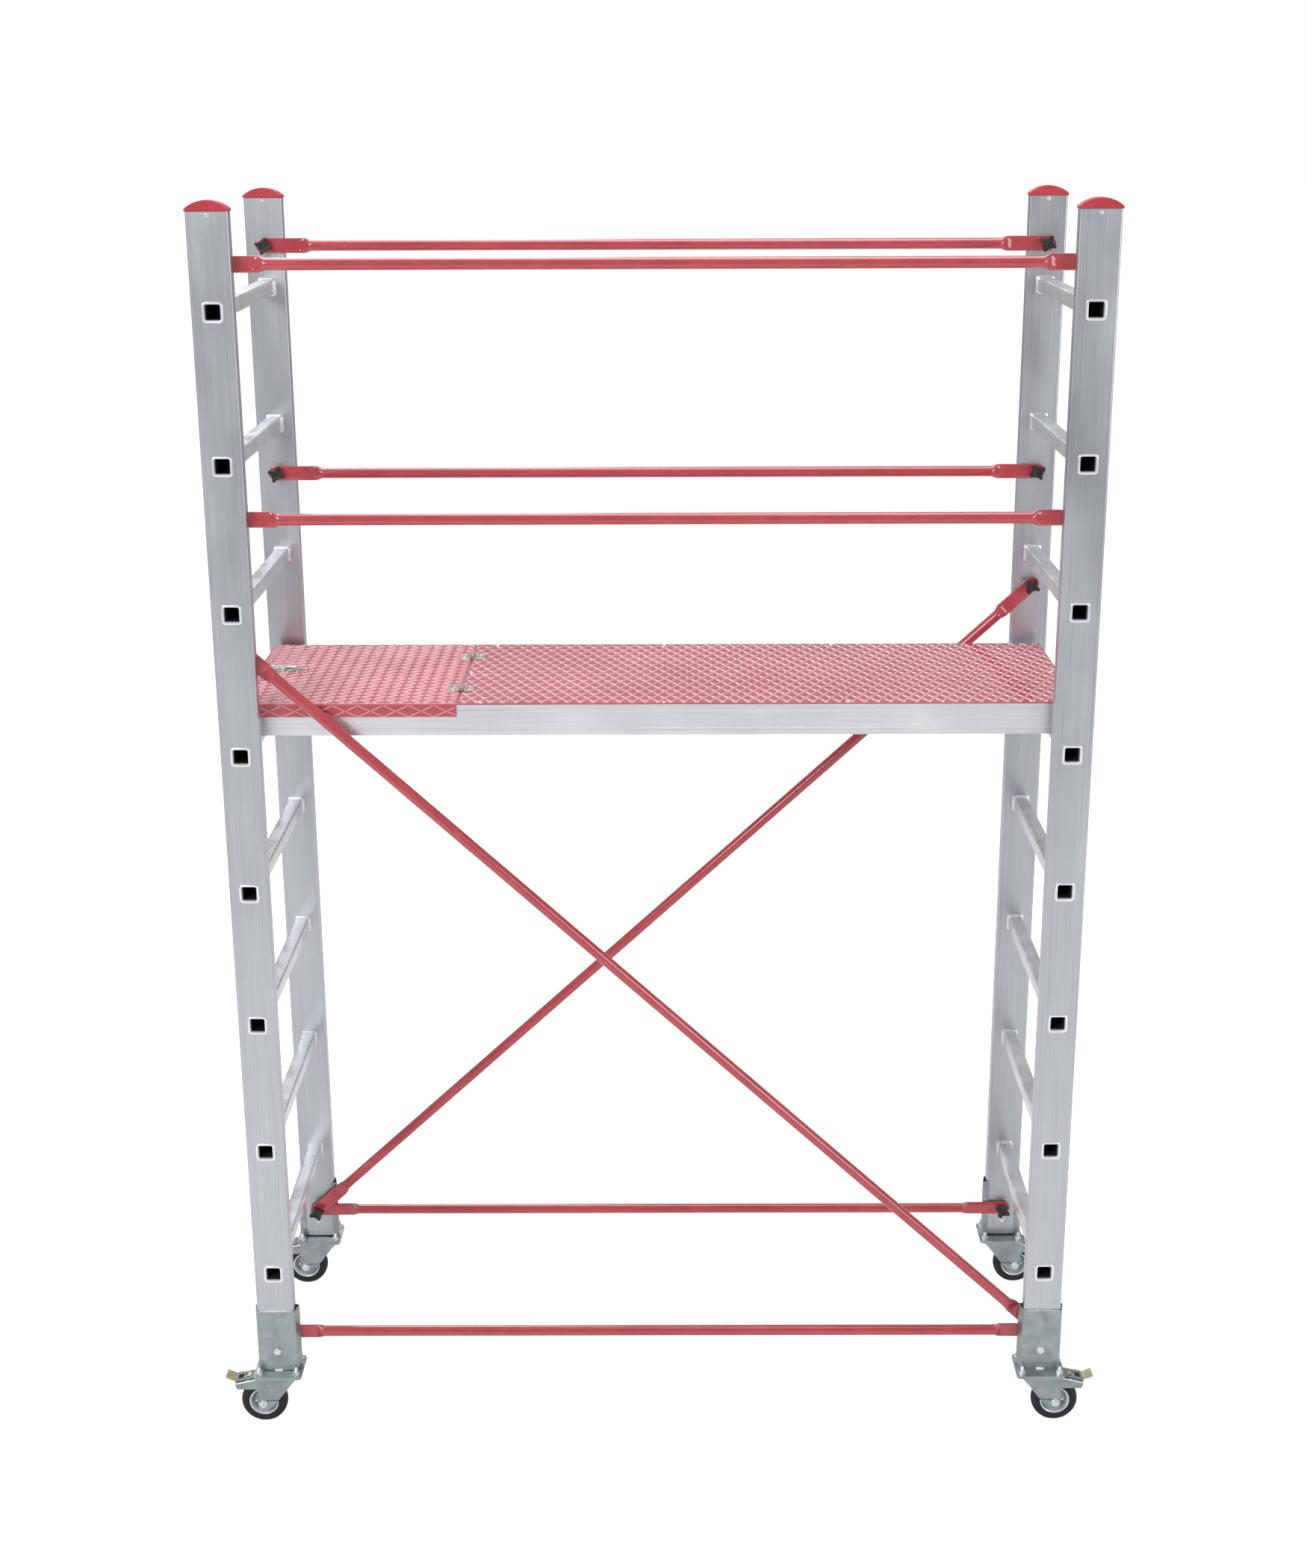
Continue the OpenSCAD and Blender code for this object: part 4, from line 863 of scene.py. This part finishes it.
TYRE_HALF = [(RIM_R, 12.3), (33, 13), (36.5, 12.6), (37.3, 11.8), (38.2, 12.6), (42, 12.2),
             (45.2, 10.6), (47.2, 8.2), (48.2, 5), (WHEEL_R, 2)]
RIM_HALF = [(RIM_R - 0.05, 11), (30.4, 12.6), (29.2, 13), (28.2, 12.4), (27.8, 11), (27.2, 6),
            (26.4, 4.5)]
WEB_HALF = [(26.8, 4.4), (23.5, 3.4), (20, 6.2), (14, 7), (11.5, 9), (11.2, 12.5), (10.2, 15.8),
            (5.1, 15.9)]
for leg in LEGS:
    hub = on_caster(leg) @ shift(OFFSET, 0, AXLE_Z) @ turn(-90, "X")
    tyre = Shape()
    tyre.lathe(mirrored(TYRE_HALF), hub, 96, closed=True)
    piece(f"{leg}_tyre_rubber", tyre, f"{leg}_wheel", rubber, [f"{leg}_tyre"])

    rim = Shape()
    rim.lathe(mirrored(RIM_HALF), hub, 96, closed=True)
    rim.lathe(mirrored(WEB_HALF), hub, 72, closed=True, group=1)
    for k in range(5):
        a = 2 * pi * k / 5
        for s in (-1, 1):
            face = hub @ turn(180 if s < 0 else 0, "X")
            rim.hexagon(4.6, 6.4, 8.6, face @ shift(17 * cos(a), 17 * sin(a), 0), 0.5)
    piece(f"{leg}_rim_pressed", rim, f"{leg}_wheel",
          [rim_bright_reflection, web_metal], [f"{leg}_rim"])

    axle = Shape()
    axle.lathe([(4.9, -22), (4.9, 22)], hub, 24)
    for s in (-1, 1):
        face = hub @ turn(180 if s < 0 else 0, "X")
        axle.lathe([(5, 21.5), (9.4, 21.5), (9.6, 21.7), (9.6, 22.3), (5, 22.5)], face, 32)
        axle.hexagon(15, 22.5, 25.8, face, 1.0)
        axle.lathe([(5, 16.3), (8, 16.3), (8, 18.8), (5, 18.8)], face, 32)
    axle.thread(5, 25, 27, hub, 0.9)
    piece(f"{leg}_axle_bolt", axle, f"{leg}_swivel", zinc, [f"{leg}_axle"])

    place = on_caster(leg)
    fork = Shape()
    top = PLATE_BOTTOM - 6.3
    outline = [(-36, top), (-36, top - 6), (6, 56.5), (6, 52.5), (26, 32.5), (43, 32.5),
               (47, 36.5), (47, 78.5), (51, 82.5), (90, 82.5), (94, 96.5), (47, top - 5), (25, top)]
    cheek = soft_corners(outline, [2, 3, 3, 3, 4, 3, 3, 3, 3, 3, 3, 6, 3])
    # The cheek is raised a little above its lower part, where a crease runs across it
    outline = [(-34.5, top - 0.5), (-34.5, top - 6), (3, 57), (44.5, 56.5), (44.5, 80),
               (49.5, 85), (88, 85), (91.5, 95.4), (46.5, top - 6.5), (24.5, top - 1)]
    press = soft_corners(outline, [1, 3, 4, 4, 4, 4, 2, 2, 5, 2])
    hole = circle(2.55, px, pz)
    for s in (-1, 1):
        fork.slab_y([cheek, hole], *on_side(s, 19, 20.8), 0.4, place)
        fork.slab_y([press, hole], *on_side(s, 20.7, 21.7), 0.55, place)
        # The hem along each cheek's edge is near white, a painted highlight
        hem = [(-33, top - 0.6), (24, top - 0.6), (46.5, top - 5.4), (93, 96.2)]
        fork.tube([(x, z, 0) for x, z in hem], 1.5, place @ shift(0, s * 21.5, 0) @ IN_XZ, 12,
                  group=2)
        # A near-black strip along the crease is painted shade
        fork.slab_y([[(3.6, 55.2), (44.5, 54.8), (44.5, 56.5), (3, 57)]],
                    *on_side(s, 20.7, 20.95), 0, place, 1)
    crown = [(-36, -21.5), (25, -21.5), (25, 21.5), (-36, 21.5)]
    fork.plate([soft_corners(crown, 4)], top - 3, top, 0.5, place)
    fork.lathe([(5.9, top + 9), (5.9, top - 9), (5.0, top - 9.4)], place, 32)
    fork.lathe([(8, top - 3), (10.5, top - 3), (11, top - 5), (9.5, top - 8.5), (5.9, top - 9)],
               place, 32)
    fork.lathe([(22, top + 0.02), (28.6, top + 0.02), (29.2, top + 0.9), (28.4, top + 1.9),
                (22, top + 2.1)], place, 64)
    piece(f"{leg}_fork_pressed", fork, f"{leg}_swivel",
          [galvanised, painted_shade, lip_and_hem_highlight], [f"{leg}_fork"])

    strip, tread_shape = Shape(), Shape()
    bend, inner = (px + 38, pz - 1), (px - 12, pz + 8.5)
    plate_place = place @ shift(inner[0], 0, inner[1]) @ Matrix.Rotation(-atan2(-9.5, 50), 4, "Y")
    long = sqrt(50 ** 2 + 9.5 ** 2)
    strip.plate([soft_corners([(0, -16), (long, -16), (long, 16), (0, 16)], [4, 0, 0, 4]),
                 rounded(25, 16, 2, 32, 0)], 0, 2.5, 0.4, plate_place)
    # A near-black plate under the window is painted shade
    strip.plate([rounded(26, 17, 2, 32, 0)], -0.9, -0.1, 0, plate_place, 1)
    for s in (-1, 1):
        ear = [(px - 5, pz + 8.2), (px - 5, pz)] + [(px - 5 * cos(a), pz - 5 * sin(a)) for a in
               (0.4, 0.8, 1.2, 1.57, 1.95, 2.35, 2.75)] + [(px + 5, pz), (px + 5, pz + 6.8)]
        strip.slab_y([ear], *on_side(s, 13.5, 16), 0.3, place)
        pin = place @ shift(px, 0, pz) @ turn(-90 * s, "X")
        strip.lathe([(2.5, 0), (2.5, 21.8)], pin, 20)
        strip.dome(4, 1.5, pin, 22.1)
        strip.slab_y([[(px + 12, pz + 4.5), (bend[0], bend[1] + 0.6),
                       (bend[0], bend[1] - 4), (px + 14, pz - 1)]], *on_side(s, 14, 16), 0.3, place)
    tip_place = place @ shift(bend[0], 0, bend[1]) @ Matrix.Rotation(-atan2(9, 20), 4, "Y")
    span = sqrt(20 ** 2 + 9 ** 2)
    outline = [(-0.5, -15.5), (span, -15.5), (span, 15.5), (-0.5, 15.5)]
    tread_shape.plate([soft_corners(outline, [0, 3.5, 3.5, 0])], -0.1, 2.5, 0.4, tip_place)
    for k in range(4):
        tread_shape.plate([rounded(2.2, 24, 1.0, 4 + 4.6 * k, 0)], 2.3, 3.3, 0.3, tip_place)
    # The brake's cam, seen through the pedal's window
    cam = [(px + 6, pz - 4), (px + 6, pz + 8.5), (px + 14, pz + 8.2), (px + 14.5, pz + 4.6),
           (px + 22, pz + 3.4), (px + 22.5, pz + 0.6), (px + 30, pz - 0.8), (px + 30, pz - 4)]
    tread_shape.slab_y([soft_corners(cam, 1.2)], -6.5, 6.5, 0.5, place)
    piece(f"{leg}_pedal_strip", strip, f"{leg}_brake",
          [galvanised, painted_shade], [f"{leg}_pedal"])
    piece(f"{leg}_pedal_tread", tread_shape, f"{leg}_brake", yellow_zinc,
          [f"{leg}_pedal"])


# ---------- floor, light and camera ----------

floor_mesh = bpy.data.meshes.new("floor")
floor_mesh.from_pydata([(-80, -80, 0), (80, -80, 0), (80, 80, 0), (-80, 80, 0)], [], [[0, 1, 2, 3]])
floor = bpy.data.objects.new("floor", floor_mesh)
bpy.context.scene.collection.objects.link(floor)
pale = finish("pale_floor", (0.86, 0.86, 0.86), (0.90, 0.90, 0.90), (0.6, 0.7), 0.0, scale=3, bump=0.02)
floor_shader = pale.node_tree.nodes["Principled BSDF"]
floor_shader.inputs["Emission Color"].default_value = (1, 1, 1, 1)
# The floor glows only for rays straight from the camera, so that it comes out white
link, new = pale.node_tree.links.new, pale.node_tree.nodes.new
seen = new("ShaderNodeMath")
seen.operation = "MULTIPLY"
seen.inputs[1].default_value = 0.66
link(new("ShaderNodeLightPath").outputs["Is Camera Ray"], seen.inputs[0])
link(seen.outputs[0], floor_shader.inputs["Emission Strength"])
floor_mesh.materials.append(pale)


def area_light(name, place, aim, size, power):
    light = bpy.data.lights.new(name, "AREA")
    light.shape, light.size, light.energy = "SQUARE", size, power
    obj = bpy.data.objects.new(name, light)
    bpy.context.scene.collection.objects.link(obj)
    obj.location = place
    obj.rotation_euler = (Vector(aim) - Vector(place)).to_track_quat("-Z", "Y").to_euler()


area_light("key", (-3.8, -5.4, 4.8), (0, 0, 1.3), 2.8, 210)
area_light("fill", (4.8, -4.4, 2.8), (0, 0, 1.2), 2.8, 95)
area_light("top", (0.3, 0.4, 5.8), (0, 0, 1.0), 3.2, 110)
area_light("back", (-1.5, 4.6, 6.0), (0, 0, 1.2), 2.4, 110)

world = bpy.data.worlds.new("studio")
world.use_nodes = True
tree = world.node_tree
sky = tree.nodes["Background"]
sky.inputs["Color"].default_value = (1, 1, 1, 1)
sky.inputs["Strength"].default_value = 0.40
white = tree.nodes.new("ShaderNodeBackground")
white.inputs["Color"].default_value = (1, 1, 1, 1)
white.inputs["Strength"].default_value = 1.0
either = tree.nodes.new("ShaderNodeMixShader")
tree.links.new(tree.nodes.new("ShaderNodeLightPath").outputs["Is Camera Ray"], either.inputs["Fac"])
tree.links.new(sky.outputs[0], either.inputs[1])
tree.links.new(white.outputs[0], either.inputs[2])
tree.links.new(either.outputs[0], tree.nodes["World Output"].inputs["Surface"])
bpy.context.scene.world = world
bpy.context.scene.view_settings.view_transform = "Standard"

# Where the camera stands, in metres, and how it is turned, in radians
CAMERA_X, CAMERA_Y, CAMERA_Z = 0.027, -4.2084, 2.6759
yaw, pitch_angle, roll = 0.0028, -0.2933, -0.0034
ahead = Vector((-sin(yaw), cos(yaw), 0))
across = Vector((cos(yaw), sin(yaw), 0))
up = Vector((0, 0, 1))
look = ahead * cos(pitch_angle) + up * sin(pitch_angle)
top_side = -ahead * sin(pitch_angle) + up * cos(pitch_angle)
right = across * cos(roll) + top_side * sin(roll)
top_side = -across * sin(roll) + top_side * cos(roll)
camera = bpy.data.cameras.new("camera")
camera.lens, camera.sensor_width = 49.1, 36
camera.shift_x, camera.shift_y = -0.00705, -0.0244
camera.clip_end = 300
viewer = bpy.data.objects.new("camera", camera)
bpy.context.scene.collection.objects.link(viewer)
viewer.matrix_world = Matrix((
    (right.x, top_side.x, -look.x, CAMERA_X), (right.y, top_side.y, -look.y, CAMERA_Y),
    (right.z, top_side.z, -look.z, CAMERA_Z), (0, 0, 0, 1)))
bpy.context.scene.camera = viewer
